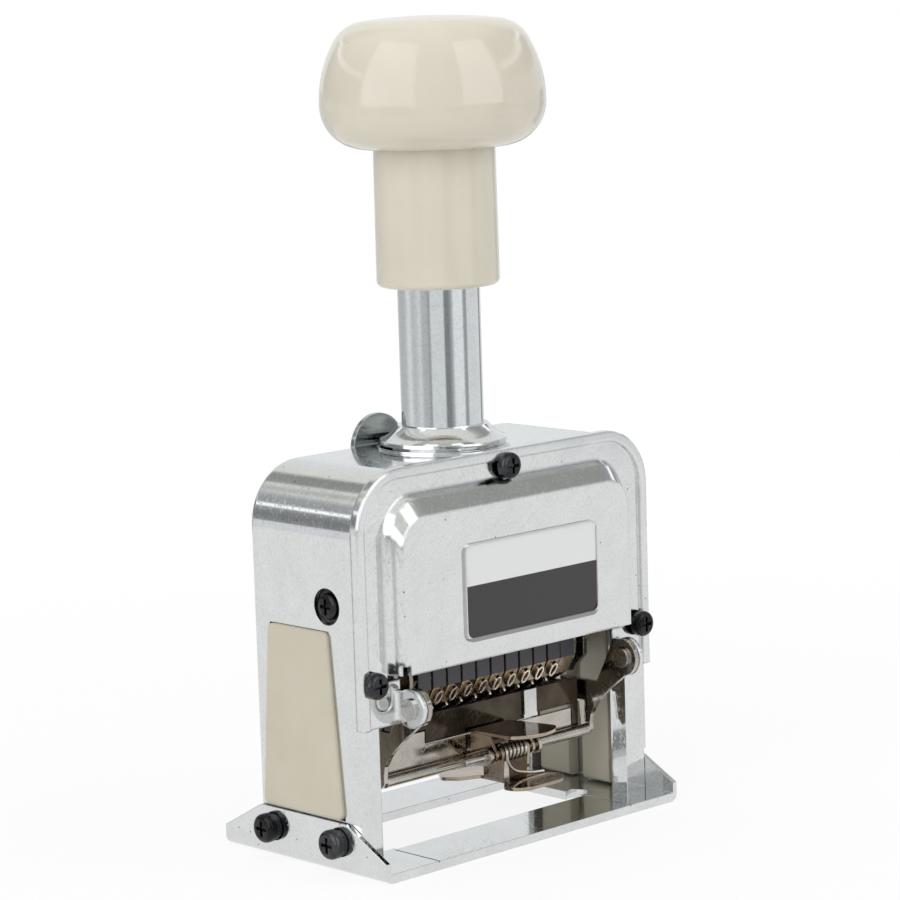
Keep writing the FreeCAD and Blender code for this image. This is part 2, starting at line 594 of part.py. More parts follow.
def cover_shape():
    rim_face, nib_x = cover_face - S.rim_proud, half_panel - S.nib_inset
    flange = arch_block(cover_face, front_y, half_cover, cover_foot, cover_top, S.cover_corner)
    rim = arch_block(rim_face, cover_face, half_cover, cover_foot, cover_top, S.cover_corner)
    rim = rim.cut(arch_block(rim_face - overrun, cover_face + overrun, half_cover - S.rim_width,
                             cover_foot - overrun, cover_top - S.rim_width, S.cover_corner - S.rim_width))
    rim = rim.makeFillet(float(S.rim_proud / 2), edges_where(
        rim, lambda middle, edge: near(middle.y, rim_face) and middle.z > float(cover_foot + overrun)))
    panel = panel_solid(0, 0, arch_height)
    trim = box((-half_cover, front_y, 0), (half_cover, front_y + overrun + overrun, overall_height))
    hollow = panel_solid(S.cover_sheet, S.cover_sheet, arch_height - overrun)
    mouth = box((-lug_in, rim_face, cover_foot - overrun), (lug_in, front_y + overrun, arch_height))
    relief = box((-half_panel, rim_face, arch_height - S.relief_height), (half_panel, front_y + overrun, arch_height))
    whole = fused([flange.cut(Part.makeCompound([mouth, relief])), rim, panel.cut(trim)] + lug_shapes(-1) + lug_shapes(1))
    cuts = [hollow, tongue_slit(), rod_x(-half_cover, half_cover, pivot, S.rivet_radius + S.running_gap),
            box((-nib_x, panel_face - overrun, arch_height - overrun),
                (-nib_x + S.nib_width, front_y + overrun, arch_height + S.nib_height))]
    cuts += [rod_y(rim_face - overrun, front_y + overrun, x, z, S.screw_shank + S.running_gap)
             for x, z in cover_screw_places()]
    return whole.cut(Part.makeCompound(cuts))


feature("front_cover", cover_shape())


def label_shape():
    left, right = S.label_shift - S.label_width / 2, S.label_shift + S.label_width / 2
    label_low = arch_height + S.label_rise
    face, low, high = panel_face - S.label_sheet, label_low, label_low + S.label_height
    plate = box((left, face, low), (right, panel_face, high))
    plate = plate.makeFillet(float(S.label_round), edges_where(plate, lambda middle, edge: along(edge, Y_AXIS)))
    field = box((left + S.label_rim, face - overrun, low + S.label_ledge),
                (right - S.label_rim, face + S.label_recess, high - S.label_rim))
    corners = edges_where(field, lambda middle, edge: along(edge, Y_AXIS))
    return plate.cut(field.makeFillet(float(S.label_round - S.label_rim), corners))


feature("label_plate", label_shape())


# Screws, washers and rivets
def screw(seat, direction, head, height, reach):
    """Pan-head screw with a cross recess; the head stands out along the direction."""
    body = Part.makeCylinder(float(head), float(height))
    crest = edges_where(body, lambda middle, edge: near(middle.z, height) and len(edge.Vertexes) == 1)
    body = body.makeFillet(float(height) / 2, crest)
    body = body.fuse(Part.makeCylinder(float(S.screw_shank), float(reach), vec(0, 0, 0), -Z_AXIS))
    half_long, half_wide = S.cross_length / 2, S.cross_width / 2
    for long, wide in ((half_long, half_wide), (half_wide, half_long)):
        body = body.cut(box((-long, -wide, height - S.cross_depth), (long, wide, height + overrun)))
    body.Placement = FreeCAD.Placement(vec(*seat), FreeCAD.Rotation(Z_AXIS, direction))
    return body


feature("cover_screws", Part.makeCompound([
    screw((x, screw_seat_y(), z), -Y_AXIS, S.screw_head, S.screw_head_height, S.screw_reach)
    for x, z in cover_screw_places()]))
side_seat = half_width - S.housing_wall - S.insert_gap


def side_screw(side):
    """Screw with a thin flange that fills the hole in the leg."""
    flange = rod_x(side_seat * side, (side_seat + S.side_flange_sheet) * side, side_screw_at,
                   S.side_hole - S.insert_gap)
    return fused([flange, screw((side_seat * side, *side_screw_at), X_AXIS * side, S.screw_head,
                                S.screw_head_height, S.liner_sheet)])


feature("side_screws", Part.makeCompound([side_screw(side) for side in (-1, 1)]))
ear_reach = half_base + S.washer_sheet - (half_width - S.housing_wall)
ear_places = [(side, end) for side in (-1, 1) for end in (-1, 1)]
feature("base_screws", Part.makeCompound([
    screw(((half_base + S.washer_sheet) * side, S.ear_screw_pitch / 2 * end, S.ear_screw_height), X_AXIS * side,
          S.ear_screw_head, S.ear_screw_head_height, ear_reach) for side, end in ear_places]))


def washer(side, end):
    """Split spring washer under an ear screw."""
    at = (S.ear_screw_pitch / 2 * end, S.ear_screw_height)
    inner, outer = half_base * side, (half_base + S.washer_sheet) * side
    ring = rod_x(inner, outer, at, S.washer_radius).cut(rod_x(inner, outer, at, S.washer_bore))
    return ring.cut(box((inner, at[0] - S.washer_split / 2, at[1]),
                        (outer, at[0] + S.washer_split / 2, at[1] + S.washer_radius + overrun)))


feature("spring_washers", Part.makeCompound([washer(side, end) for side, end in ear_places]))


def rivet(side):
    inner, head = arm_in - S.running_gap, S.rivet_head_height
    return fused([rod_x((inner - head) * side, (lug_face + head) * side, pivot, S.rivet_radius),
                  rod_x(lug_face * side, (lug_face + head) * side, pivot, S.rivet_head),
                  rod_x((inner - head) * side, inner * side, pivot, S.rivet_head)])


feature("pivot_rivets", Part.makeCompound([rivet(-1), rivet(1)]))


# Guide tube, its nut and bush, and the collar
def ring_outline(inner, outer, low, high):
    return [(inner, low), (outer, low), (outer, high), (inner, high)]


revolved("guide_tube", ring_outline(S.tube_bore, S.tube_radius, tube_foot, tube_top))
rod_bore = S.rod_radius + S.running_gap
collar_bore = S.tube_radius + S.running_gap
revolved("guide_bush", ring_outline(rod_bore, S.tube_bore - S.running_gap, tube_foot, tube_foot + S.bush_height))
collar_hub = S.collar_radius - S.collar_neck + S.tube_bore
revolved("collar", [
    (collar_bore, boss_top), (collar_hub, boss_top), (collar_hub, collar_low), (S.collar_radius, collar_low),
    (S.collar_radius, collar_low + S.collar_lip),
    (S.collar_neck, collar_top, -S.collar_radius / 2),
    (collar_bore, collar_top)])
nut_angles = [2 * math.pi * corner / NUT_SIDES for corner in range(NUT_SIDES)]
nut_corners = [(S.nut_radius * math.cos(angle), S.nut_radius * math.sin(angle)) for angle in nut_angles]
tube_nut = new_body("tube_nut")
pad(tube_nut, sketch_on(tube_nut, "XY_Plane", tube_foot, nut_corners, [(0, 0, collar_bore)]), S.nut_height)

# Handle on the plunger rod
sleeve_neck = S.sleeve_radius - S.sleeve_taper
revolved("handle_sleeve", [
    (S.sleeve_bore, sleeve_low), (S.sleeve_radius - S.sleeve_edge, sleeve_low),
    (S.sleeve_radius, sleeve_low + S.sleeve_edge, S.sleeve_edge), (sleeve_neck, sleeve_top),
    (S.sleeve_bore, sleeve_top)])
crown_round = (S.crown_width * S.crown_width + S.crown_drop * S.crown_drop) / (S.crown_drop * 2)
revolved("handle_knob", [
    (sleeve_neck + S.sleeve_taper + S.running_gap, knob_low), (S.sleeve_radius + S.knob_neck, knob_low),
    (S.knob_radius, knob_low + S.belly_rise, S.belly_round),
    (S.shoulder_width, overall_height - S.shoulder_drop, S.side_round),
    (S.crown_width, overall_height - S.crown_drop, S.shoulder_round), (0, overall_height, crown_round),
    (0, rod_top), (rod_bore, rod_top), (rod_bore, sleeve_top),
    (sleeve_neck + S.sleeve_taper + S.running_gap, sleeve_top)])
stop_top = tube_foot - S.stop_gap
revolved("plunger_rod", [
    (0, crosshead_low), (S.rod_radius, crosshead_low), (S.rod_radius, stop_top - S.stop_height),
    (S.stop_radius, stop_top - S.stop_height), (S.stop_radius, stop_top), (S.rod_radius, stop_top),
    (S.rod_radius, rod_top), (0, rod_top)])
revolved("return_spring", ring_outline(S.spring_inner, S.spring_outer, tube_foot + S.bush_height, sleeve_top))

# Carriage: crosshead, side plates with guide lugs, ties and wheel shaft
half_cross = S.crosshead_depth / 2
crosshead = new_body("crosshead")
pad(crosshead, sketch_on(crosshead, "XY_Plane", crosshead_low, [
    (plate_inner, half_cross), (-plate_inner, half_cross), (-plate_inner, -half_cross), (plate_inner, -half_cross)],
    [(0, 0, rod_bore)]), plate_high - crosshead_low)


def carriage_plate_shape():
    chamfer, lug_low = S.plate_chamfer, plate_low + S.lug_rise
    lug_tip = half_width - S.housing_wall - S.insert_gap - S.liner_sheet - S.lug_end_gap
    plate = plate_yz(plate_inner, plate_face, [
        (-S.plate_front + chamfer, plate_low), (S.plate_rear - chamfer, plate_low),
        (S.plate_rear, plate_low + chamfer), (S.plate_rear, plate_high), (-S.plate_front, plate_high),
        (-S.plate_front, plate_low + chamfer)])
    lug = box((plate_face, -S.channel_front + S.lug_gap, lug_low),
              (lug_tip, S.channel_rear - S.lug_gap, lug_low + S.lug_height))
    low, high = plate_inner - overrun, plate_face + overrun
    bores = [rod_x(low, high, wheel_centre, S.wheel_shaft + S.running_gap)]
    bores += [rod_x(low, high, (S.tie_y * end, tie_z), S.tie_radius + S.running_gap) for end in (-1, 1)]
    return fused([plate, lug]).cut(Part.makeCompound(bores))


feature("carriage_plate_right", carriage_plate_shape())
feature("carriage_plate_left", mirrored(carriage_plate_shape()))
shaft_tip = plate_face + S.shaft_end
as_piece(bound("Cylinder", "wheel_shaft", turn_x, Radius=S.wheel_shaft, Height=shaft_tip * 2, x=-shaft_tip,
               y=-S.wheel_y, z=S.wheel_z), "wheel_shaft")
tie_rods = doc.addObject("Part::MultiFuse", "tie_rods")
tie_rods.Shapes = [bound("Cylinder", name, turn_x, Radius=S.tie_radius, Height=plate_face * 2, x=-plate_face,
                         y=S.tie_y * end, z=tie_z) for name, end in (("tie_front", -1), ("tie_rear", 1))]
as_piece(tie_rods, "tie_rods")

# Number wheels: twelve-sided drums with a ratchet ring at their left, then a plain drum
def drum_left(number):
    return bank_low + wheel_pitch * number + S.wheel_gap / 2 + S.ratchet_width


def around(radii, count, phase):
    """Corners of a regular outline about the wheel shaft; the radii take turns."""
    angles = [2 * math.pi * (step + phase) / count for step in range(count)]
    sizes = [radii[step % len(radii)] for step in range(count)]
    return [(size * math.cos(angle) - S.wheel_y, size * math.sin(angle) + S.wheel_z)
            for size, angle in zip(sizes, angles)]


def drum(left, right):
    return plate_yz(left, right, around([S.wheel_radius], WHEEL_FACETS, 1 / 2))


def shaft_bore(left, right):
    return rod_x(left - overrun, right + overrun, wheel_centre, S.wheel_shaft + S.running_gap)


def wheel_shape(number):
    left = drum_left(number)
    right, low = left + S.drum_width, left - S.ratchet_width
    teeth = around([S.ratchet_radius, S.ratchet_root], WHEEL_FACETS + WHEEL_FACETS, 0)
    return fused([drum(left, right), plate_yz(low, left, teeth)]).cut(shaft_bore(low, right))


for number in range(WHEEL_COUNT):
    feature(f"number_wheel_{number + 1}", wheel_shape(number))
end_low, end_high = comb_right + S.wheel_gap / 2, bank_high - S.wheel_gap / 2
feature("end_drum", drum(end_low, end_high).cut(shaft_bore(end_low, end_high)))


# Detent comb: a flange under the crosshead and one finger behind each drum
def comb_shape():
    front = S.wheel_radius + S.type_height + S.comb_gap - S.wheel_y
    rear = front + S.comb_sheet
    top, comb_low = crosshead_low, S.wheel_z + S.comb_rise
    pieces = [box((bank_low, rear - S.comb_flange, top - S.comb_sheet), (comb_right, rear, top)),
              box((bank_low, front, top - S.comb_root), (comb_right, rear, top))]
    for number in range(WHEEL_COUNT):
        left = drum_left(number) + (S.drum_width - S.comb_finger) / 2
        pieces.append(box((left, front, comb_low), (left + S.comb_finger, rear, top)))
    return fused(pieces)


feature("detent_comb", comb_shape())

# Feed frame and its pawls, which swing about the wheel shaft
feed_low = bank_low - S.feed_gap - S.feed_arm
feed_high = bank_high + S.feed_gap + S.feed_arm


def feed_shape():
    web_front = feed_at[0] + S.pawl_ring + S.feed_web_gap
    web_rear = web_front + S.feed_web
    web_low = feed_at[1] - S.feed_web_height / 2
    web_high = web_low + S.feed_web_height
    arm = [(-S.wheel_y, S.wheel_z - S.feed_disc), (web_rear, web_low), (web_rear, web_high),
           (-S.wheel_y, S.wheel_z + S.feed_disc)]
    pieces = [box((feed_low, web_front, web_low), (feed_high, web_rear, web_high))]
    for low in (feed_low, feed_high - S.feed_arm):
        pieces += [rod_x(low, low + S.feed_arm, wheel_centre, S.feed_disc), plate_yz(low, low + S.feed_arm, arm)]
    bores = [shaft_bore(feed_low, feed_high),
             rod_x(feed_low - overrun, feed_high + overrun, feed_at, S.feed_shaft + S.running_gap)]
    return fused(pieces).cut(Part.makeCompound(bores))


def pawl_shape(number):
    """Thin pawl whose nose stands just clear of its ratchet ring."""
    middle = drum_left(number) - S.ratchet_width / 2
    low, high = middle - S.pawl_sheet / 2, middle + S.pawl_sheet / 2
    nose_y = S.ratchet_radius + S.pawl_lift - S.wheel_y
    ring_y, ring_z = feed_at
    outline = [(ring_y, ring_z - S.pawl_ring), (ring_y, ring_z + S.pawl_ring),
               (nose_y, S.wheel_z), (nose_y, S.wheel_z - S.pawl_tip)]
    whole = fused([rod_x(low, high, feed_at, S.pawl_ring), plate_yz(low, high, outline)])
    return whole.cut(rod_x(low - overrun, high + overrun, feed_at, S.feed_shaft + S.running_gap))


feature("feed_frame", feed_shape())
feature("feed_pawls", Part.makeCompound([pawl_shape(number) for number in range(WHEEL_COUNT)]))
as_piece(bound("Cylinder", "feed_shaft", turn_x, Radius=S.feed_shaft, Height=feed_high - feed_low, x=feed_low,
               y=feed_at[0], z=feed_at[1]), "feed_shaft")


def spacer(start, end):
    return rod_x(start, end, wheel_centre, S.spacer_radius).cut(shaft_bore(start, end))


feature("shaft_spacers", Part.makeCompound([spacer(-plate_inner, feed_low - S.feed_gap),
                                            spacer(feed_high + S.feed_gap, plate_inner)]))

# Ink frame: two arms, the front bar with its apron and the clip's brackets
clip_rod_low, clip_rod_high = S.clip_x - S.clip_rod_tail, S.clip_x + S.clip_rod_nose
apron_front, apron_rear = holder_front, holder_front + S.holder_sheet
apron_top, apron_left_top = holder_floor - S.apron_drop, holder_floor + S.apron_left_rise


def arm_outline():
    """Outline from the hub's front down to the bar, and back over the holder's pin."""
    reach_y, reach_z = bar[0] - pivot[0], bar[1] - pivot[1]
    rear, top = holder_rear + S.arm_tail, holder_floor + S.arm_rise
    edge = [(pivot[0] + reach_y * along_y, pivot[1] + reach_z * along_z) for along_y, along_z in ARM_EDGE_SHARES]
    return [(pivot[0] - S.arm_hub, pivot[1])] + edge + [
        (bar[0] - S.bar_radius, bar[1]), (bar[0], bar[1] - S.bar_radius), (bar[0] + S.bar_radius, bar[1]),
        (bar[0] + S.arm_back_reach, holder_floor), (rear, holder_floor), (rear, top),
        (pivot[0] + S.arm_neck_reach, top),
        (pivot[0] + S.arm_hub * HUB_REAR_SHARE, pivot[1] + S.arm_hub * HUB_REAR_SHARE),
        (pivot[0], pivot[1] + S.arm_hub)]


def ink_frame_shape():
    pieces = [rod_x(-arm_in, arm_in, bar, S.bar_radius),
              box((-arm_in, apron_front, bar[1]), (post_x - S.holder_gap, apron_rear, apron_top)),
              box((-arm_in, apron_front, bar[1]), (-apron_step, apron_rear, apron_left_top))]
    cuts = [rod_x(clip_rod_low, clip_rod_high, clip, S.clip_rod + S.running_gap)]
    for side in (-1, 1):
        low, high = arm_in * side, arm_face * side
        pieces += [rod_x(low, high, pivot, S.arm_hub), plate_yz(low, high, arm_outline())]
        cuts += [rod_x(low - overrun * side, high + overrun * side, pivot, S.rivet_radius + S.running_gap),
                 rod_x(low - overrun * side, high + overrun * side, holder_pin_at,
                       S.holder_pin + S.running_gap)]
        bracket = S.clip_x + S.bracket_x * side
        low, high = bracket - S.bracket_sheet / 2, bracket + S.bracket_sheet / 2
        pieces += [rod_x(low, high, clip, S.bracket_eye), plate_yz(low, high, [
            (clip[0], clip[1] - S.bracket_eye), (bar[0], bar[1] - S.bar_radius), (bar[0], bar[1] + S.bar_radius),
            (clip[0], clip[1] + S.bracket_eye)])]
    return fused(pieces).cut(Part.makeCompound(cuts))


feature("ink_frame", ink_frame_shape())


def holder_shape():
    """Trough for the pad; its front wall fits round the ink frame's apron, with a pin at each end."""
    low, high, sheet_size = holder_front, holder_rear, S.holder_sheet
    half, floor, gap = holder_half, holder_floor, S.holder_gap
    step_x, rear_top = -apron_step + gap, holder_top - S.holder_rear_drop
    outer = box((-half, low, floor), (half, high, holder_top))
    cuts = [box((-half + sheet_size, low + sheet_size, floor + sheet_size),
                (half - sheet_size, high - sheet_size, holder_top + overrun)),
            box((-half - overrun, low + sheet_size, rear_top),
                (half + overrun, high + overrun, holder_top + overrun)),
            box((-half - overrun, low - overrun, floor - overrun),
                (step_x, low + sheet_size + gap, apron_left_top + gap)),
            box((window_right, low - overrun, floor - overrun), (post_x, low + sheet_size, floor + S.window_rise))]
    added = [box((step_x, low, apron_top + gap), (window_right, low + sheet_size, floor)),
             box((post_x, low, bar[1] + S.post_rise), (half, low + sheet_size, floor))]
    added += [rod_x(half * side, arm_face * side, holder_pin_at, S.holder_pin)
              for side in (-1, 1)]
    return fused([outer.cut(Part.makeCompound(cuts))] + added)


feature("pad_holder", holder_shape())
felt_side = S.holder_sheet + S.felt_gap
felt_top = S.wheel_z - wheel_apothem - S.type_height - S.felt_clear
felt_low = holder_floor + S.holder_sheet
as_piece(bound("Box", "ink_pad", None, Length=(holder_half - felt_side) * 2,
               Width=holder_rear - holder_front - felt_side * 2, Height=felt_top - felt_low,
               x=-holder_half + felt_side, y=holder_front + felt_side, z=felt_low), "ink_pad")


def latch_shape():
    front, middle = holder_front - S.latch_sheet, window_right - S.latch_inset
    low, high = holder_floor - S.latch_drop, holder_top + S.latch_rise
    tongue = box((middle - S.latch_width / 2, front, low), (middle + S.latch_width / 2, holder_front, high))
    foot = box((middle - S.latch_foot / 2, front, low),
               (middle + S.latch_foot / 2, holder_front, low + S.latch_foot_height))
    return fused([tongue, foot])


feature("pad_latch", latch_shape())

# Spring clip on the front bar
as_piece(bound("Cylinder", "clip_rod", turn_x, Radius=S.clip_rod, Height=clip_rod_high - clip_rod_low,
               x=clip_rod_low, y=clip[0], z=clip[1]), "clip_rod")
leaf_top, tab_top = clip[1] - S.leaf_drop, clip[1] + S.tab_height
tab_rear = holder_front - S.tab_gap


def clip_cheeks(outer, outline):
    """Two upright cheeks with eyes for the rod."""
    cheeks = []
    for side in (-1, 1):
        low, high = S.clip_x + (outer - S.clip_sheet) * side, S.clip_x + outer * side
        cheeks += [rod_x(low, high, clip, S.clip_eye), plate_yz(low, high, outline)]
    return cheeks


def rod_bore_cut():
    return rod_x(S.clip_x - S.leaf_half, S.clip_x + S.leaf_half, clip, S.clip_rod + S.running_gap)


def clip_upper_shape():
    """Thumb tab with a bowed front and two cheeks down to the rod."""
    corner, bow = tab_rear - S.tab_side, tab_rear - S.tab_side - S.tab_bow
    rise = S.tab_rise / S.tab_side
    places = {"rear_left": (-S.tab_half, tab_rear), "rear_right": (S.tab_half, tab_rear),
              "front_right": (S.tab_front_half, corner), "bow": (0, bow), "front_left": (-S.tab_front_half, corner)}
    at = {key: vec(S.clip_x + half, y, tab_top - S.clip_sheet + rise * (float(tab_rear) - float(y)))
          for key, (half, y) in places.items()}
    edges = [Part.LineSegment(at["front_left"], at["rear_left"]), Part.LineSegment(at["rear_left"], at["rear_right"]),
             Part.LineSegment(at["rear_right"], at["front_right"]),
             Part.Arc(at["front_right"], at["bow"], at["front_left"])]
    tab = Part.Face(Part.Wire([edge.toShape() for edge in edges])).extrude(vec(0, 0, S.clip_sheet))
    tab = tab.makeFillet(float(S.leaf_corner / 2), edges_where(
        tab, lambda middle, edge: along(edge, Z_AXIS) and near(middle.y, corner)))
    under, front, low = tab_top - S.clip_sheet / 2, clip[0] + S.tab_cheek_back, clip[1] + S.tab_cheek_rise
    cheeks = clip_cheeks(S.tab_half, [
        (front, under), (tab_rear, under), (tab_rear, low),
        (clip[0], clip[1] - S.clip_eye), (clip[0] - S.clip_eye, clip[1])])
    return fused([tab] + cheeks).cut(rod_bore_cut())


def clip_lower_shape():
    """Lower leaf: two rounded lobes, a waist and cheeks up to the rod."""
    front = clip[0] - S.leaf_reach
    half = [(S.leaf_half * across, front + S.leaf_length * (1 - down)) for across, down in LEAF_SHARES]
    outline = [(S.clip_x + x, y) for x, y in half] + [(S.clip_x - x, y) for x, y in reversed(half)]
    leaf = slab_xy(leaf_top - S.clip_sheet, leaf_top, outline)
    leaf = leaf.makeFillet(float(S.leaf_round), edges_where(
        leaf, lambda middle, edge: along(edge, Z_AXIS) and not near(middle.y, front)))
    lobe = float(S.leaf_length) * (1 - LEAF_SHARES[-2][1])
    leaf = leaf.makeFillet(min(float(S.leaf_corner), lobe - float(S.leaf_round / 2)), edges_where(
        leaf, lambda middle, edge: along(edge, Z_AXIS) and near(middle.y, front)))
    under, high = leaf_top - S.clip_sheet / 2, clip[1] + S.leaf_cheek_rise
    rear = bar[0] - S.bar_radius - S.leaf_cheek_gap
    cheeks = clip_cheeks(S.leaf_cheek, [
        (clip[0] - S.leaf_cheek_toe, under), (clip[0] - S.clip_eye, clip[1]), (clip[0] + S.clip_eye, high),
        (rear, high), (rear, under)])
    return fused([leaf] + cheeks).cut(rod_bore_cut())


feature("clip_upper", clip_upper_shape())
feature("clip_lower", clip_lower_shape())


# Torsion coil on the clip's rod
def coil_point(turn):
    angle = 2 * math.pi * turn + math.pi
    across = S.clip_x + S.coil_pitch * (S.coil_turns.number / 2 - turn)
    return vec(across, clip[0] + S.coil_radius * math.cos(angle), clip[1] + S.coil_radius * math.sin(angle))


def coil_heading(turn):
    angle = 2 * math.pi * turn + math.pi
    rise = -S.coil_pitch / (2 * math.pi)
    return vec(rise, -S.coil_radius * math.sin(angle), S.coil_radius * math.cos(angle)).normalize()


def arc_between(start, heading, corner, end):
    """Arc that leaves the start along the heading; the corner is where its end tangents meet."""
    half_turn_cosine = math.cos(heading.getAngle(end - corner) / 2)
    middle = (start + corner * (2 * half_turn_cosine) + end) * (1 / (2 * (1 + half_turn_cosine)))
    return Part.Arc(start, middle, end).toShape()


def biarc(start, start_heading, end, end_heading):
    """Two arcs that join the ends with the given headings."""
    chord, headings = end - start, start_heading + end_heading
    spread = 2 * (1 - start_heading.dot(end_heading))
    lean = chord.dot(headings)
    reach = (math.sqrt(lean ** 2 + spread * chord.dot(chord)) - lean) / spread
    first, second = start + start_heading * reach, end - end_heading * reach
    joint = (first + second) * 0.5
    return [arc_between(start, start_heading, first, joint), arc_between(joint, second - first, second, end)]


def coil_turns_between(steps):
    """Turn numbers from the hidden leg's end to the front leg's, in even steps."""
    total = S.coil_turns.number - COIL_START_SHARE
    return [COIL_START_SHARE + total * step / steps for step in range(steps + 1)]


def coil_shape():
    """Coil with one leg up under the tab and one that drops and crosses to the leaf."""
    stops = coil_turns_between(math.ceil(S.coil_turns.number * ARCS_PER_TURN) + 1)
    upper = coil_point(stops[0]) - coil_heading(stops[0]) * float(S.coil_leg)
    tip = vec(S.clip_x + S.coil_tip_side, clip[0] - S.coil_tip_reach, leaf_top + S.coil_wire)
    edges = [Part.LineSegment(upper, coil_point(stops[0])).toShape()]
    for start, end in zip(stops, stops[1:]):
        edges += biarc(coil_point(start), coil_heading(start), coil_point(end), coil_heading(end))
    last = coil_point(stops[-1])
    across = vec(tip.x - last.x, tip.y - last.y, 0).normalize()
    edges += biarc(last, coil_heading(stops[-1]), tip, across)
    circle = Part.Circle(upper, coil_heading(stops[0]), float(S.coil_wire)).toShape()
    return Part.Wire(edges).makePipeShell([Part.Wire(circle)], True, False)


def coil_gap():
    """Least gap between the wire's surfaces of different turns, measured on points."""
    turns = coil_turns_between(round(S.coil_turns.number * POINTS_PER_TURN))
    points = [coil_point(turn) for turn in turns]
    least = min((points[first] - points[second]).Length for first in range(len(points))
                for second in range(first + POINTS_PER_TURN // 2, len(points)))
    return least - float(S.coil_wire) - float(S.coil_wire)


feature("clip_spring", coil_shape())
print(f"coil: least gap to itself {coil_gap():.2f} mm")

# Lock lever at the rear, with its screw
lever_at = (-S.lever_x, housing_top - S.lever_pivot_drop)
lever_front = S.housing_rear + S.lever_gap
lever_rear = lever_front + S.lever_sheet


def lever_shape():
    x, z = lever_at
    top = housing_top + S.lever_rise - S.lever_tab
    disc = rod_y(lever_front, lever_rear, x, top, S.lever_tab)
    lower = box((x - S.lever_tab, lever_front, top - S.lever_tab), (x + S.lever_tab, lever_rear, top))
    arm = box((x - S.lever_arm, lever_front, z), (x + S.lever_arm, lever_rear, top))
    foot = rod_y(lever_front, lever_rear, x, z, S.lever_arm)
    hole = rod_y(lever_front - overrun, lever_rear + overrun, x, z, S.lever_screw + S.running_gap)
    return fused([disc.cut(lower), arm, foot]).cut(hole)


def lever_screw_shape():
    x, z = lever_at
    seat = lever_rear + S.running_gap
    shank = rod_y(S.housing_rear - S.housing_wall, seat, x, z, S.lever_screw)
    head = rod_y(seat, seat + S.lever_head_height, x, z, S.lever_screw_head)
    half = S.cross_width / 2
    slot = box((x - S.lever_screw_head, seat + S.lever_head_height / 2, z - half),
               (x + S.lever_screw_head, seat + S.lever_head_height + overrun, z + half))
    return fused([shank, head]).cut(slot)


feature("lock_lever", lever_shape())
feature("lever_screw", lever_screw_shape())


# Repeat dial at the rear
def dial_shape():
    x, z = S.dial_x, housing_top - S.dial_drop
    outer = lever_front + S.dial_height
    inner = S.housing_rear - S.housing_wall - S.lever_gap
    disc = rod_y(lever_front, outer, x, z, S.dial_radius)
    disc = disc.makeChamfer(float(S.dial_keeper_sheet), edges_where(
        disc, lambda middle, edge: near(middle.y, outer) and len(edge.Vertexes) == 1))
    reach = S.dial_radius - S.dial_keeper_sheet - S.dial_keeper_sheet
    grip = box((x - reach, outer, z - S.dial_grip_width / 2), (x + reach, outer + S.dial_grip, z + S.dial_grip_width / 2))
    return fused([disc, grip, rod_y(inner, lever_front, x, z, S.dial_stem),
                  rod_y(inner - S.dial_keeper_sheet, inner, x, z, S.dial_keeper)])


feature("repeat_dial", dial_shape())


# Check every object, then write one file for each sub-part
doc.recompute()
for item in doc.Objects:
    if "Invalid" in item.State or "Error" in item.State:
        raise RuntimeError(f"{item.Label}: {item.State}")
os.makedirs("parts", exist_ok=True)
for piece in PIECES:
    if piece.Shape.isNull() or not piece.Shape.isValid() or not piece.Shape.Solids:
        raise RuntimeError(f"{piece.Label}: no valid solid")
    piece.Shape.exportStep(f"parts/{piece.Label}.step")
print(f"{len(PIECES)} sub-parts written")
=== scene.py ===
import bmesh
import bpy
import json
import numpy as np
from math import cos, pi, radians, sin
from mathutils import Matrix, Vector


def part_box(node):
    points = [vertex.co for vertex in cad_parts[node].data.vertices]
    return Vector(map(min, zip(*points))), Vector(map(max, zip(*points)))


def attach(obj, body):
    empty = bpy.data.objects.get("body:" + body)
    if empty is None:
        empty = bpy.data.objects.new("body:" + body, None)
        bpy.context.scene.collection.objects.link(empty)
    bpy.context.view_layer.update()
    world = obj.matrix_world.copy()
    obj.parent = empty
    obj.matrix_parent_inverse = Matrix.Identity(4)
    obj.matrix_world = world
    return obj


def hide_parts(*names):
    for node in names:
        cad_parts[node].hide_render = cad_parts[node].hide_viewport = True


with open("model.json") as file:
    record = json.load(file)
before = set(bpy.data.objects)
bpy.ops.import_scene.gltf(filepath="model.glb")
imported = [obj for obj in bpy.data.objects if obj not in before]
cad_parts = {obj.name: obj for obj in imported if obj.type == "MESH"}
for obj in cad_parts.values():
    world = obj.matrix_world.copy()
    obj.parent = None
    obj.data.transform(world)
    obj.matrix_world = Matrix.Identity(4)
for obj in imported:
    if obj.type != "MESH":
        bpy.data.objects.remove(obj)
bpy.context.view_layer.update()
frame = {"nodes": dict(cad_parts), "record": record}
nodes = frame["nodes"]
record = frame["record"]
mm = 0.001
print("frame loaded:", len(nodes), "nodes")


# Small helpers for node trees
def addNode(tree, kind, **settings):
    node = tree.nodes.new(kind)
    for name, value in settings.items():
        if name in node.inputs:
            node.inputs[name].default_value = value
        else:
            setattr(node, name, value)
    return node


def wire(tree, value, socket):
    # A number or a colour is set on the socket, the output of a node is linked to it
    if isinstance(value, (int, float)):
        socket.default_value = value
    elif isinstance(value, tuple):
        socket.default_value = (*value, 1.0)
    else:
        tree.links.new(value, socket)


def mathNode(tree, operation, *values):
    node = addNode(tree, "ShaderNodeMath", operation=operation)
    for value, socket in zip(values, node.inputs):
        wire(tree, value, socket)
    return node.outputs[0]


def length(tree, first, second):
    # sqrt(first^2 + second^2)
    squared = mathNode(tree, "MULTIPLY_ADD", first, first, mathNode(tree, "MULTIPLY", second, second))
    return mathNode(tree, "SQRT", squared)


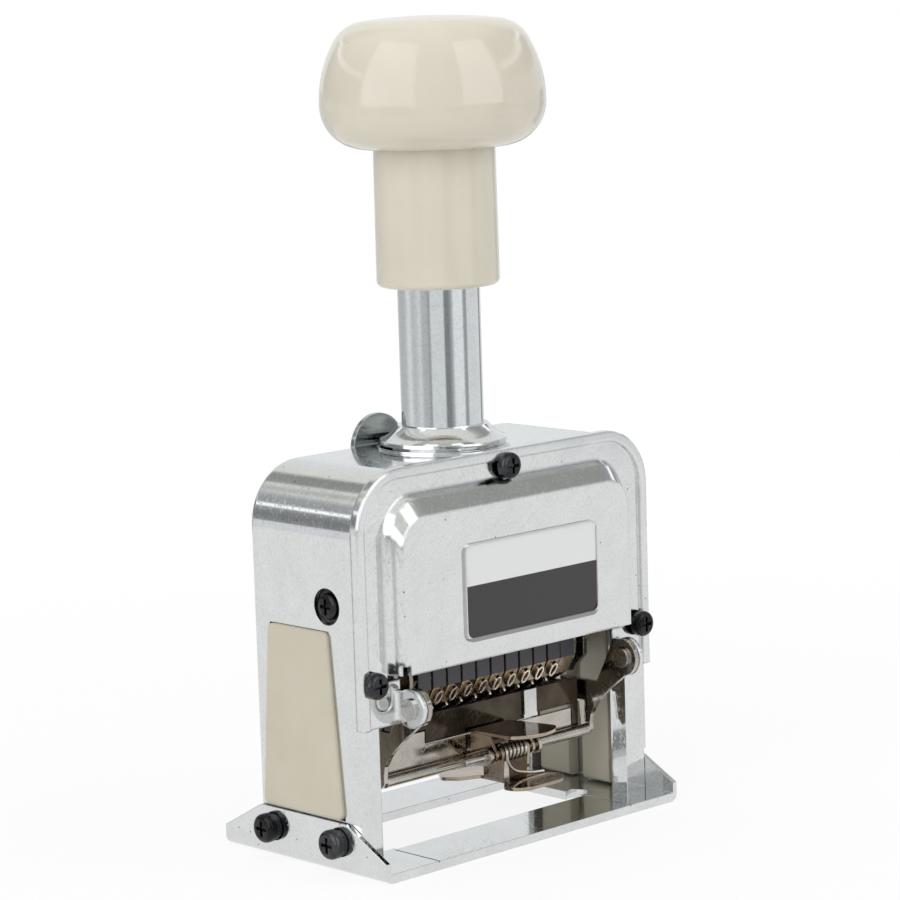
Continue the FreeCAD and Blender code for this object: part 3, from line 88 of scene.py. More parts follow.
def ramp(tree, source, stops):
    node = addNode(tree, "ShaderNodeValToRGB")
    elements = node.color_ramp.elements
    while len(elements) < len(stops):
        elements.new(0.5)
    for element, (position, value) in zip(elements, stops):
        element.position = position
        element.color = (value, value, value, 1.0)
    wire(tree, source, node.inputs["Fac"])
    return node.outputs["Color"]


def mapRange(tree, source, fromMin, fromMax, toMin=0.0, toMax=1.0):
    node = addNode(tree, "ShaderNodeMapRange")
    wire(tree, source, node.inputs["Value"])
    limits = {"From Min": fromMin, "From Max": fromMax, "To Min": toMin, "To Max": toMax}
    for label, value in limits.items():
        wire(tree, value, node.inputs[label])
    return node.outputs["Result"]


def mixColour(tree, amount, first, second, blend="MIX"):
    node = addNode(tree, "ShaderNodeMix", data_type="RGBA", blend_type=blend)
    for index, value in ((0, amount), (6, first), (7, second)):
        wire(tree, value, node.inputs[index])
    return node.outputs[2]


def objectPoint(tree):
    return addNode(tree, "ShaderNodeTexCoord").outputs["Object"]


def separated(tree, vector):
    node = addNode(tree, "ShaderNodeSeparateXYZ")
    wire(tree, vector, node.inputs["Vector"])
    return node.outputs


def noise(tree, point, scale, detail, roughness=0.5):
    node = addNode(tree, "ShaderNodeTexNoise", Detail=detail, Roughness=roughness)
    wire(tree, point, node.inputs["Vector"])
    wire(tree, scale, node.inputs["Scale"])
    return node.outputs["Fac"]


def srgb(red, green, blue):
    # 8-bit screen colour to the linear value that a shader takes
    values = []
    for level in (red, green, blue):
        share = level / 255
        values.append(share / 12.92 if share <= 0.04045 else ((share + 0.055) / 1.055) ** 2.4)
    return tuple(values)


def newGroup(name, inputs, outputs):
    # A node group whose sockets are all plain numbers
    group = bpy.data.node_groups.new(name, "ShaderNodeTree")
    for label, value in inputs.items():
        socket = group.interface.new_socket(name=label, in_out="INPUT", socket_type="NodeSocketFloat")
        socket.default_value = value
    for label in outputs:
        group.interface.new_socket(name=label, in_out="OUTPUT", socket_type="NodeSocketFloat")
    return group, group.nodes.new("NodeGroupInput").outputs, group.nodes.new("NodeGroupOutput").inputs


# Effects that the finishes share
scratchShape = {"offsets": (0.0, 1.35), "axis": (0.35, 1.0, 0.2), "squeeze": 0.035, "detail": 3.0,
                "roughness": 0.6, "thread": ((0.60, 0.0), (0.66, 1.0), (0.72, 0.0))}


def makeScratches():
    # Two sets of hair lines, each a noise field squeezed along its own direction and cut to thin threads
    group, entry, leave = newGroup("scratches", {"Scale": 400.0, "Turn": 0.6, "Amount": 0.5},
                                   ("Height", "Mask"))
    where = objectPoint(group)
    fields = []
    for offset in scratchShape["offsets"]:
        turned = addNode(group, "ShaderNodeVectorRotate", rotation_type="AXIS_ANGLE",
                         Axis=scratchShape["axis"])
        wire(group, where, turned.inputs["Vector"])
        wire(group, mathNode(group, "ADD", entry["Turn"], offset), turned.inputs["Angle"])
        squeezed = addNode(group, "ShaderNodeMapping", Scale=(scratchShape["squeeze"], 1.0, 1.0))
        wire(group, turned.outputs["Vector"], squeezed.inputs["Vector"])
        field = noise(group, squeezed.outputs["Vector"], entry["Scale"], scratchShape["detail"],
                      scratchShape["roughness"])
        fields.append(ramp(group, field, scratchShape["thread"]))
    thinned = mathNode(group, "MULTIPLY", mathNode(group, "MAXIMUM", *fields), entry["Amount"])
    wire(group, mathNode(group, "MULTIPLY", thinned, -1.0), leave["Height"])
    wire(group, thinned, leave["Mask"])
    return group


# Share of the cells' scale, detail and roughness of the two noises
speckNoises = {"Cloud": (0.14, 4.0, 0.55), "Grain": (1.6, 5.0, 0.7)}


def makeSpecks():
    # Small pits and dust: a dot in the middle of each cell of a pattern, kept in a share of the cells only;
    # with them a coarse cloud and a fine grain
    group, entry, leave = newGroup("specks", {"Scale": 300.0, "Share": 0.4, "Size": 0.12},
                                   ("Mask", "Cloud", "Grain"))
    where = objectPoint(group)
    cells = addNode(group, "ShaderNodeTexVoronoi", feature="F1", Randomness=1.0)
    wire(group, where, cells.inputs["Vector"])
    wire(group, entry["Scale"], cells.inputs["Scale"])
    dots = mathNode(group, "LESS_THAN", cells.outputs["Distance"], entry["Size"])
    picked = addNode(group, "ShaderNodeSeparateColor")
    wire(group, cells.outputs["Color"], picked.inputs["Color"])
    chosen = mathNode(group, "LESS_THAN", picked.outputs[0], entry["Share"])
    wire(group, mathNode(group, "MULTIPLY", dots, chosen), leave["Mask"])
    for label, (scale, detail, roughness) in speckNoises.items():
        field = noise(group, where, mathNode(group, "MULTIPLY", entry["Scale"], scale), detail, roughness)
        wire(group, field, leave[label])
    return group


# The number wheels' axis and drum. Tip starts above the drum's corners, Blank a little below its flats
wheelPlace = {"axisY": -6.0 * mm, "axisZ": 40.4 * mm, "drum": 9.5 * mm, "sides": 12, "tipAbove": 0.25 * mm,
              "blankBelow": 0.3 * mm, "blankReach": 1.02}
apothem = wheelPlace["drum"] * cos(pi / wheelPlace["sides"])


def makeDrumMasks():
    # About the wheels' axis: Tip is beyond the drum's corners, Blank is the flat that faces the front
    group, leave = newGroup("drumMasks", {}, ("Tip", "Blank"))[::2]
    spot = separated(group, objectPoint(group))
    ahead = mathNode(group, "SUBTRACT", wheelPlace["axisY"], spot["Y"])
    rise = mathNode(group, "SUBTRACT", spot["Z"], wheelPlace["axisZ"])
    radius = length(group, ahead, rise)
    turn = mathNode(group, "ABSOLUTE", mathNode(group, "ARCTAN2", rise, ahead))
    onFlat = mathNode(group, "GREATER_THAN", radius, apothem - wheelPlace["blankBelow"])
    inFront = mathNode(group, "LESS_THAN", turn, pi / wheelPlace["sides"] * wheelPlace["blankReach"])
    tip = mathNode(group, "GREATER_THAN", radius, wheelPlace["drum"] + wheelPlace["tipAbove"])
    wire(group, tip, leave["Tip"])
    wire(group, mathNode(group, "MULTIPLY", onFlat, inFront), leave["Blank"])
    return group


scratchGroup = makeScratches()
speckGroup = makeSpecks()
drumGroup = makeDrumMasks()


def useGroup(tree, group, **settings):
    return addNode(tree, "ShaderNodeGroup", node_tree=group, **settings).outputs


def speckle(tree, settings):
    return useGroup(tree, speckGroup, Scale=settings["speckScale"], Share=settings["speckShare"],
                    Size=settings["speckSize"])


def newMaterial(name, metallic):
    material = bpy.data.materials.new(name)
    material.use_nodes = True
    shader = material.node_tree.nodes["Principled BSDF"].inputs
    shader["Metallic"].default_value = metallic
    return material, material.node_tree, shader


def clouded(tree, cloud, settings):
    # Tone between dark and light where the cloud is thin or thick
    amount = ramp(tree, cloud, settings["cloud"])
    return mixColour(tree, amount, settings["dark"], settings["light"])


def glossOf(tree, field, settings):
    # Roughness = rough + roughSpread * field
    return mathNode(tree, "MULTIPLY_ADD", field, settings["roughSpread"], settings["rough"])


def shadeRelief(tree, shader, height, settings):
    # A fine bump, on edges that a bevel rounds in the shading
    bump = addNode(tree, "ShaderNodeBump", Strength=settings["bump"], Distance=settings["bumpDepth"])
    wire(tree, height, bump.inputs["Height"])
    if settings["edge"]:
        rounded = addNode(tree, "ShaderNodeBevel", samples=4, Radius=settings["edge"])
        wire(tree, rounded.outputs["Normal"], bump.inputs["Normal"])
    wire(tree, bump.outputs["Normal"], shader["Normal"])


metalSettings = {"light": (0.71, 0.72, 0.72), "dark": (0.67, 0.68, 0.68), "cloud": ((0.35, 0.0), (0.65, 1.0)),
                 "rough": 0.05, "roughSpread": 0.06,
                 "scratches": 0.6, "scratchScale": 1400.0, "scratchTurn": 0.6, "scratchRough": 0.3,
                 "scratchLift": 0.12, "scratchTone": (0.9, 0.9, 0.9),
                 "grain": 0.10, "grainReach": (0.45, 0.68), "speckScale": 900.0, "speckShare": 0.02,
                 "speckSize": 0.18, "pit": (0.05, 0.05, 0.05), "pitDepth": 0.75,
                 "bump": 0.10, "bumpDepth": 0.0001, "waviness": 0.15, "edge": 0.00025,
                 "tip": None, "black": None, "blackMetal": 0.1, "blackRough": 0.25}


def metalFinish(name, **changes):
    # Plated metal: cloudy tone and gloss, hair scratches, pits; on the wheels bright tips and a black flat
    settings = {**metalSettings, **changes}
    material, tree, shader = newMaterial(name, 1.0)
    marks = useGroup(tree, scratchGroup, Scale=settings["scratchScale"], Turn=settings["scratchTurn"],
                     Amount=settings["scratches"])
    specks = speckle(tree, settings)
    toned = clouded(tree, specks["Cloud"], settings)
    lifted = mathNode(tree, "MULTIPLY", marks["Mask"], settings["scratchLift"])
    toned = mixColour(tree, lifted, toned, settings["scratchTone"])
    grainFrom, grainTo = settings["grainReach"]
    grain = ramp(tree, specks["Grain"], ((grainFrom, 1.0), (grainTo, 1.0 - settings["grain"])))
    toned = mixColour(tree, 1.0, toned, grain, blend="MULTIPLY")
    pitted = mathNode(tree, "MULTIPLY", specks["Mask"], settings["pitDepth"])
    toned = mixColour(tree, pitted, toned, settings["pit"])
    gloss = glossOf(tree, specks["Cloud"], settings)
    if settings["tip"]:
        drum = useGroup(tree, drumGroup)
        toned = mixColour(tree, drum["Tip"], toned, settings["tip"])
        toned = mixColour(tree, drum["Blank"], toned, settings["black"])
        plated = mathNode(tree, "MULTIPLY_ADD", drum["Blank"], settings["blackMetal"] - 1.0, 1.0)
        wire(tree, plated, shader["Metallic"])
        gloss = mathNode(tree, "MULTIPLY_ADD", drum["Blank"], settings["blackRough"], gloss)
    wire(tree, toned, shader["Base Color"])
    gloss = mathNode(tree, "MULTIPLY_ADD", marks["Mask"], settings["scratchRough"], gloss)
    wire(tree, gloss, shader["Roughness"])
    height = mathNode(tree, "MULTIPLY_ADD", specks["Cloud"], settings["waviness"], marks["Height"])
    shadeRelief(tree, shader, mathNode(tree, "SUBTRACT", height, specks["Mask"]), settings)
    return material


plasticSettings = {"light": srgb(222, 215, 199), "dark": srgb(216, 209, 192),
                   "cloud": ((0.3, 0.0), (0.7, 1.0)), "rough": 0.03, "roughSpread": 0.05,
                   "speckScale": 450.0, "speckShare": 0.01, "speckSize": 0.14,
                   "pit": srgb(120, 110, 95), "pitDepth": 0.5,
                   "bump": 0.04, "bumpDepth": 0.0001, "peelScale": 900.0, "peelDetail": 2.0, "edge": 0.0003,
                   "partingZ": 0.0, "partingHalf": 0.12 * mm, "partingDepth": -6.0}


def plasticFinish(name, **changes):
    # Moulded plastic: even colour with slight clouding, dust specks, a fine orange peel and a parting line
    settings = {**plasticSettings, **changes}
    material, tree, shader = newMaterial(name, 0.0)
    specks = speckle(tree, settings)
    dusty = mathNode(tree, "MULTIPLY", specks["Mask"], settings["pitDepth"])
    toned = mixColour(tree, dusty, clouded(tree, specks["Cloud"], settings), settings["pit"])
    wire(tree, toned, shader["Base Color"])
    wire(tree, glossOf(tree, specks["Cloud"], settings), shader["Roughness"])
    height = noise(tree, objectPoint(tree), settings["peelScale"], settings["peelDetail"])
    if settings["partingZ"]:
        above = mathNode(tree, "SUBTRACT", separated(tree, objectPoint(tree))["Z"], settings["partingZ"])
        seam = mathNode(tree, "LESS_THAN", mathNode(tree, "ABSOLUTE", above), settings["partingHalf"])
        height = mathNode(tree, "MULTIPLY_ADD", seam, settings["partingDepth"], height)
    shadeRelief(tree, shader, height, settings)
    return material


# The lower ledge's colour is a painted reflection: the ledge is drawn a darker grey than the rest of the rim
labelSettings = {"splitZ": 62.2 * mm, "rimWidth": 0.4 * mm, "ledgeHeight": 1.0 * mm, "corner": 1.6 * mm,
                 "white": srgb(232, 233, 233), "charcoal": srgb(48, 45, 45),
                 "rim": (0.62, 0.62, 0.60), "ledgePaintedReflection": (0.30, 0.30, 0.29), "rimMetal": 0.9,
                 "speckScale": 500.0, "speckShare": 0.02, "speckSize": 0.12,
                 "pit": (0.3, 0.3, 0.3), "pitDepth": 0.25, "rough": 0.26, "roughSpread": 0.1}


def labelFinish(name):
    # Two-tone printed plate, its lettering left out. The bare rim lies outside a field with round corners,
    # where sqrt(max(|x| - a, 0)^2 + max(|z| - b, 0)^2) > corner, measured from the field's middle
    settings = labelSettings
    material, tree, shader = newMaterial(name, 0.0)
    low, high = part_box("label_plate")
    ledgeZ = low.z + settings["ledgeHeight"]
    rimWidth = settings["rimWidth"]
    spot = separated(tree, objectPoint(tree))
    specks = speckle(tree, settings)
    upper = mathNode(tree, "GREATER_THAN", spot["Z"], settings["splitZ"])
    printed = mixColour(tree, upper, settings["charcoal"], settings["white"])
    dusty = mathNode(tree, "MULTIPLY", specks["Mask"], settings["pitDepth"])
    printed = mixColour(tree, dusty, printed, settings["pit"])
    beyond = []
    for axis, start, end in (("X", low.x + rimWidth, high.x - rimWidth), ("Z", ledgeZ, high.z - rimWidth)):
        away = mathNode(tree, "ABSOLUTE", mathNode(tree, "SUBTRACT", spot[axis], (start + end) / 2))
        straight = (end - start) / 2 - settings["corner"]
        beyond.append(mathNode(tree, "MAXIMUM", mathNode(tree, "SUBTRACT", away, straight), 0.0))
    rim = mathNode(tree, "GREATER_THAN", length(tree, *beyond), settings["corner"])
    # Below the field the ledge takes that darker grey, a painted reflection
    below = mathNode(tree, "LESS_THAN", spot["Z"], ledgeZ)
    rimAndPaintedLedge = mixColour(tree, below, settings["rim"], settings["ledgePaintedReflection"])
    wire(tree, mixColour(tree, rim, printed, rimAndPaintedLedge), shader["Base Color"])
    wire(tree, mathNode(tree, "MULTIPLY", rim, settings["rimMetal"]), shader["Metallic"])
    wire(tree, glossOf(tree, specks["Cloud"], settings), shader["Roughness"])
    return material


feltSettings = {"fibreScale": 1600.0, "fibreDetail": 6.0, "fibreRoughness": 0.75,
                "dark": (0.012, 0.010, 0.016), "light": (0.05, 0.045, 0.06), "rough": 0.75,
                "roughSpread": 0.2, "bump": 0.7, "bumpDepth": 0.0003, "edge": 0.0}


def feltFinish(name):
    # Ink-soaked felt: one fine noise gives the fibres their tone, gloss and relief
    settings = feltSettings
    material, tree, shader = newMaterial(name, 0.0)
    fibres = noise(tree, objectPoint(tree), settings["fibreScale"], settings["fibreDetail"],
                   settings["fibreRoughness"])
    wire(tree, mixColour(tree, fibres, settings["dark"], settings["light"]), shader["Base Color"])
    wire(tree, glossOf(tree, fibres, settings), shader["Roughness"])
    shadeRelief(tree, shader, fibres, settings)
    return material


finishes = {
    "bright_plate": metalFinish("brightPlate"),
    "bright_cover": metalFinish("brightCover", edge=0.0009),
    "bright_tube": metalFinish("brightTube", light=(0.72, 0.74, 0.74), dark=(0.69, 0.71, 0.71), rough=0.03,
                               roughSpread=0.03, scratches=0.2, scratchLift=0.05, grain=0.14,
                               speckShare=0.004, waviness=0.1, edge=0.0002),
    "handle_beige": plasticFinish("handleBeige", partingZ=167.0 * mm),
    "insert_beige": plasticFinish("insertBeige", light=srgb(204, 198, 180), dark=srgb(198, 191, 172),
                                  rough=0.34, bump=0.1, edge=0.0007),
    "label_field": labelFinish("labelField"),
    "dark_screw": metalFinish("darkScrew", light=(0.075, 0.075, 0.08), dark=(0.012, 0.012, 0.013), rough=0.10,
                              roughSpread=0.2, scratchLift=0.0, grain=0.3, waviness=1.4, bump=0.5,
                              edge=0.0002),
    "steel": metalFinish("turnedSteel", light=(0.60, 0.59, 0.57), dark=(0.48, 0.47, 0.45), rough=0.18),
    "zinc": metalFinish("satinZinc", light=(0.32, 0.31, 0.28), dark=(0.22, 0.21, 0.19), rough=0.2,
                        scratchLift=0.0),
    "wheel_bronze": metalFinish("wheelBronze", light=(0.46, 0.36, 0.26), dark=(0.33, 0.26, 0.185), rough=0.12,
                                scratchLift=0.0, waviness=0.6, bump=0.2, tip=(0.88, 0.82, 0.74),
                                black=srgb(62, 61, 66)),
    "frame_nickel": metalFinish("frameNickel", light=(0.54, 0.50, 0.45), dark=(0.40, 0.37, 0.33), rough=0.10,
                                scratchLift=0.0, waviness=0.8, bump=0.16),
    # The holder's colour is painted shade: nickel drawn nearly black where its inner wall lies in shade
    "holder_dark": metalFinish("holderPaintedShade", light=(0.085, 0.070, 0.053), dark=(0.042, 0.034, 0.026),
                               rough=0.10, scratchLift=0.0, waviness=0.8, bump=0.16),
    "clip_nickel": metalFinish("clipNickel", light=(0.44, 0.36, 0.285), dark=(0.30, 0.24, 0.185), rough=0.06,
                               scratchLift=0.0, waviness=0.5, bump=0.12),
    "spring_wire": metalFinish("springWire", light=(0.50, 0.46, 0.42), dark=(0.38, 0.35, 0.31), rough=0.16,
                               scratchLift=0.0, edge=0.00008),
    "pad_felt": feltFinish("padFelt"),
    "latch_light": metalFinish("latchLight", light=(0.66, 0.66, 0.65), dark=(0.55, 0.55, 0.54), rough=0.14),
    "lever_dark": metalFinish("leverPlate", light=(0.46, 0.49, 0.50), dark=(0.40, 0.43, 0.44), rough=0.12,
                              scratches=0.1, bump=0.04),
}
slotOf = {entry["node"]: entry["material_slot"] for entry in record["subparts"]}


def dress(thing, material):
    thing.data.materials.clear()
    thing.data.materials.append(material)


for name, node in nodes.items():
    dress(node, finishes["bright_cover" if name == "front_cover" else slotOf[name]])
print("finishes:", len(finishes))


# New pieces are grids of points
def newPiece(name, points, faces, body, slot):
    mesh = bpy.data.meshes.new(name)
    mesh.from_pydata(np.asarray(points, float).reshape(-1, 3).tolist(), [], np.asarray(faces, int).tolist())
    mesh.validate()
    thing = bpy.data.objects.new(name, mesh)
    bpy.context.scene.collection.objects.link(thing)
    dress(thing, finishes[slot])
    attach(thing, body)
    return thing


def gridFaces(rows, columns, wrapRows=False, wrapColumns=False):
    # Corner numbers of every cell of a grid whose points run row by row
    row = np.arange(rows if wrapRows else rows - 1)
    column = np.arange(columns if wrapColumns else columns - 1)
    near, far = row[:, None] * columns, (row[:, None] + 1) % rows * columns
    left, right = column, (column + 1) % columns
    return np.stack([near + left, near + right, far + right, far + left], axis=2).reshape(-1, 4)


# Raised figures on the number wheels
typeSizes = {"height": 3.5 * mm, "width": 2.3 * mm, "stroke": 0.46 * mm, "foot": 0.72 * mm, "rise": 1.0 * mm,
             "sink": 0.05 * mm, "drumWidth": 4.0 * mm, "ratchet": 0.57 * mm, "firstFacet": 210,
             "pointsPerRun": 9}


def bend(centre, radiusX, radiusY, start, end, count=None):
    # Points of an ellipse from one angle to another, in degrees
    count = count or typeSizes["pointsPerRun"]
    angle = np.radians(np.linspace(start, end, count))
    return np.stack([centre[0] + radiusX * np.cos(angle), centre[1] + radiusY * np.sin(angle)], axis=1)


def run(*parts):
    return np.concatenate([np.asarray(part, float) for part in parts])


def digitPaths():
    # Each figure as runs in a box from -1 to 1 across and up, and whether the run is closed
    return {
        0: [(bend((0, 0), 0.8, 1, 90, 450, 21)[:-1], True)],
        1: [(run([(-0.45, 0.6), (0.1, 1), (0.1, -1)]), False)],
        2: [(run(bend((0, 0.45), 0.75, 0.55, 170, -35), [(-0.8, -1), (0.8, -1)]), False)],
        3: [(run(bend((0, 0.5), 0.7, 0.5, 155, -80), bend((0, -0.47), 0.8, 0.53, 80, -155)), False)],
        4: [(run([(0.3, -1), (0.3, 1), (-0.8, -0.4), (0.85, -0.4)]), False)],
        5: [(run([(0.7, 1), (-0.6, 1), (-0.7, 0.1)], bend((-0.05, -0.38), 0.8, 0.62, 130, -150)), False)],
        6: [(run(bend((0.1, -0.1), 0.85, 1.1, 60, 180), bend((0, -0.42), 0.75, 0.58, 180, 500)), False)],
        7: [(run([(-0.8, 1), (0.8, 1), (-0.2, -1)]), False)],
        8: [(bend((0, 0.5), 0.65, 0.5, 90, 450, 15)[:-1], True),
            (bend((0, -0.48), 0.8, 0.52, 90, 450, 15)[:-1], True)],
        9: [(run(bend((-0.1, 0.1), 0.85, 1.1, 240, 360), bend((0, 0.42), 0.75, 0.58, 0, 320)), False)],
    }


def ribbon(path, closed):
    # A tapered ridge carried along a flat path: at each point the foot, crest, crest and foot
    # stand off to both sides along the path's own normal
    heading = np.roll(path, -1, 0) - np.roll(path, 1, 0) if closed else np.gradient(path, axis=0)
    heading /= np.linalg.norm(heading, axis=1)[:, None]
    side = np.stack([-heading[:, 1], heading[:, 0]], axis=1)
    foot, crest = typeSizes["foot"] / 2, typeSizes["stroke"] / 2
    count = len(path)
    points = np.stack([np.column_stack([path + side * offset, np.full(count, rise)]) for offset, rise in
                       ((-foot, 0.0), (-crest, 1.0), (crest, 1.0), (foot, 0.0))], axis=1)
    faces = gridFaces(count, 4, wrapRows=closed, wrapColumns=True)
    if not closed:
        last = (count - 1) * 4
        faces = np.concatenate([faces, [[3, 2, 1, 0]], [[last, last + 1, last + 2, last + 3]]])
    return points.reshape(-1, 3), faces


def wheelFigures(number):
    # Ten figures on the drum's flats; two flats at the front stay for the blank blocks. At a flat's angle
    # a point that stands out by r and up along the flat by s lies at y = r cos - s sin, z = r sin + s cos
    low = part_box(f"number_wheel_{number}")[0]
    middle = low.x + typeSizes["ratchet"] + typeSizes["drumWidth"] / 2
    size = np.array([-typeSizes["width"] / 2, typeSizes["height"] / 2])
    allPoints, allFaces, start = [], [], 0
    for digit, paths in digitPaths().items():
        angle = radians(typeSizes["firstFacet"] + 360 / wheelPlace["sides"] * digit)
        for path, closed in paths:
            points, faces = ribbon(path * size, closed)
            across, along, level = points.T
            out = apothem + level * typeSizes["rise"] - typeSizes["sink"]
            allPoints.append(np.stack([middle + across,
                                       wheelPlace["axisY"] + out * cos(angle) - along * sin(angle),
                                       wheelPlace["axisZ"] + out * sin(angle) + along * cos(angle)], axis=1))
            allFaces.append(faces + start)
            start += len(points)
    newPiece(f"figures_{number}", np.concatenate(allPoints), np.concatenate(allFaces), f"wheel_{number}",
             "wheel_bronze")


for number in range(1, 11):
    wheelFigures(number)
print("figures on ten wheels")


# Felt pad in place of the plain solid: a crowned block whose sides pull in between its corners
feltSizes = {"crown": 0.35 * mm, "waist": 0.25 * mm, "roundness": 5.0, "endShare": 0.02, "around": 48,
             "along": 41, "fill": 0.85}


def feltPad():
    # Cross-section: a superellipse in Y and Z. It keeps its size along X and closes over its last points in a
    # quarter ellipse; the top is raised by the crown and the sides are drawn in by the waist at mid height
    low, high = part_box("ink_pad")
    centre, half = (low + high) / 2, (high - low) / 2
    angle = np.linspace(0, 2 * pi, feltSizes["around"], endpoint=False)
    power = 2 / feltSizes["roundness"]
    across = np.sign(np.cos(angle)) * np.abs(np.cos(angle)) ** power
    upright = np.sign(np.sin(angle)) * np.abs(np.sin(angle)) ** power
    along = np.sin(np.linspace(-pi / 2, pi / 2, feltSizes["along"]))
    end = np.clip((1 - np.abs(along)) / feltSizes["endShare"], 0, 1)
    width = np.sqrt(1 - (1 - end) ** 2)
    waist = 1 - feltSizes["waist"] / half.y * (1 - upright ** 2)
    x = centre.x + half.x * along[:, None] + 0 * angle[None, :]
    y = centre.y + half.y * width[:, None] * (across * waist)[None, :]
    z = centre.z + (half.z - feltSizes["crown"] / 2) * width[:, None] * upright[None, :]
    bulge = np.clip(upright, 0, 1)[None, :] * (1 - across ** 2)[None, :] * (1 - along ** 4)[:, None]
    z = z - feltSizes["crown"] / 2 + feltSizes["crown"] * bulge * width[:, None]
    points = np.stack([x, y, z], axis=2)
    faces = gridFaces(feltSizes["along"], feltSizes["around"], wrapColumns=True)
    piece = newPiece("felt_pad", points, faces, "ink_swing", "pad_felt")
    form = bmesh.new()
    form.from_mesh(piece.data)
    bmesh.ops.remove_doubles(form, verts=form.verts, dist=1e-6)
    bmesh.ops.recalc_face_normals(form, faces=form.faces)
    form.to_mesh(piece.data)
    form.free()
    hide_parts("ink_pad")


feltPad()
print("felt pad")


# Light, floor and camera
# Levels are pairs of degrees and brightness: around from the camera's side, and above the horizon
studio = {"floorSpan": 0.45, "floorDrop": 0.2 * mm, "floorTone": 0.94, "floorGlow": 0.86,
          "glowReach": (0.10, 0.36), "worldDiffuse": 0.5,
          "around": ((-180, 0.42), (-174, 0.40), (-168, 0.84), (-155, 0.62), (-130, 0.60), (-113, 0.66),
                     (-100, 0.90), (-92, 0.90), (-86, 0.72), (-77, 0.66), (-67, 0.76), (-58, 0.86),
                     (-50, 0.62), (-36, 0.58), (-29, 0.42), (-24, 0.86), (10, 0.86), (14, 0.30),
                     (25, 0.30), (34, 0.55), (40, 0.98), (66, 1.0), (71, 0.46), (79, 0.42), (83, 0.86),
                     (136, 0.88), (141, 0.36), (149, 0.42), (155, 0.88), (168, 0.84), (173, 0.45),
                     (180, 0.42)),
          "leftLow": ((-90, 1.0), (-1, 0.95), (0.5, 0.32), (9, 0.27), (14, 0.34), (17, 0.46), (18.3, 1.5),
                      (20.5, 1.5), (22, 0.44), (29, 0.48), (33, 0.70), (90, 0.92)),
          "leftHigh": ((-180, 0.92), (-150, 0.90), (-146, 0.55), (-142, 0.36), (-126, 0.38), (-123, 0.88),
                       (-119, 0.85), (-116, 0.58), (-112, 0.66), (-107, 0.98), (-98, 0.72), (-60, 0.9),
                       (180, 0.9)),
          "highFrom": 33,
          "rightSide": ((-90, 1.0), (4, 0.95), (9, 0.95), (12, 0.42), (19, 0.36), (22, 1.9), (24, 1.5),
                        (27, 0.45), (38, 0.40), (44, 0.46), (50, 0.60), (56, 0.92), (90, 0.95)),
          "front": ((-180, 0.85), (-77, 0.85), (-75, 2.3), (-20, 2.3), (-17, 0.85), (30, 0.85), (33, 2.4),
                    (74, 2.4), (77, 0.85), (180, 0.85)),
          "frontTo": 80, "frontTop": 52, "frontTone": (0.95, 0.95, 0.95),
          "backOpen": (146, 151), "backTone": (0.92, 0.92, 0.91),
          "olive": (0.985, 1.0, 0.955), "cool": (0.965, 0.99, 1.01)}
camera = {"at": (-0.5160, -0.5419, 0.2002), "yaw": 43.71, "pitch": 8.44, "roll": -1.81, "focalPixels": 3238.9,
          "framePixels": 900, "sensor": 36.0}
lamps = {
    "leftPanel": {"at": (-0.75, -0.25, 0.55), "size": (0.7, 0.7), "watts": 3.4},
    "rightPanel": {"at": (0.65, -0.75, 0.60), "size": (0.6, 0.6), "watts": 2.7},
    "topPanel": {"at": (0.05, 0.15, 0.95), "size": (0.7, 0.5), "watts": 2.1},
}
lampAim = (0, 0, 0.08)


def makeFloor():
    # A diffuse sheet that takes the shadow. To the camera and to reflections it glows white, more so with
    # the distance from the object
    edge = np.linspace(-studio["floorSpan"], studio["floorSpan"], 3)
    across, along = np.meshgrid(edge, edge)
    points = np.stack([across.ravel(), along.ravel(), np.full(across.size, -studio["floorDrop"])], axis=1)
    mesh = bpy.data.meshes.new("floor")
    mesh.from_pydata(points.tolist(), [], gridFaces(3, 3).tolist())
    floor = bpy.data.objects.new("floor", mesh)
    bpy.context.scene.collection.objects.link(floor)
    material = bpy.data.materials.new("paleFloor")
    material.use_nodes = True
    tree = material.node_tree
    tree.nodes.remove(tree.nodes["Principled BSDF"])
    diffuse = addNode(tree, "ShaderNodeBsdfDiffuse", Color=(*[studio["floorTone"]] * 3, 1.0))
    glow = addNode(tree, "ShaderNodeEmission", Strength=1.0)
    light = addNode(tree, "ShaderNodeLightPath").outputs
    mirrored = mathNode(tree, "MAXIMUM", light["Is Glossy Ray"], light["Is Transmission Ray"])
    seen = mathNode(tree, "MAXIMUM", light["Is Camera Ray"], mirrored)
    distance = addNode(tree, "ShaderNodeVectorMath", operation="LENGTH")
    wire(tree, objectPoint(tree), distance.inputs[0])
    white = mapRange(tree, distance.outputs["Value"], *studio["glowReach"], studio["floorGlow"], 1.0)
    mixed = addNode(tree, "ShaderNodeMixShader")
    wire(tree, mathNode(tree, "MULTIPLY", seen, white), mixed.inputs[0])
    wire(tree, diffuse.outputs[0], mixed.inputs[1])
    wire(tree, glow.outputs[0], mixed.inputs[2])
    wire(tree, mixed.outputs[0], tree.nodes["Material Output"].inputs["Surface"])
    mesh.materials.append(material)


def bands(tree, source, name, span):
    # A table of levels from -span to span degrees, as a ramp from 0 to 1
    return ramp(tree, source, [((angle + span) / (2 * span), level) for angle, level in studio[name]])


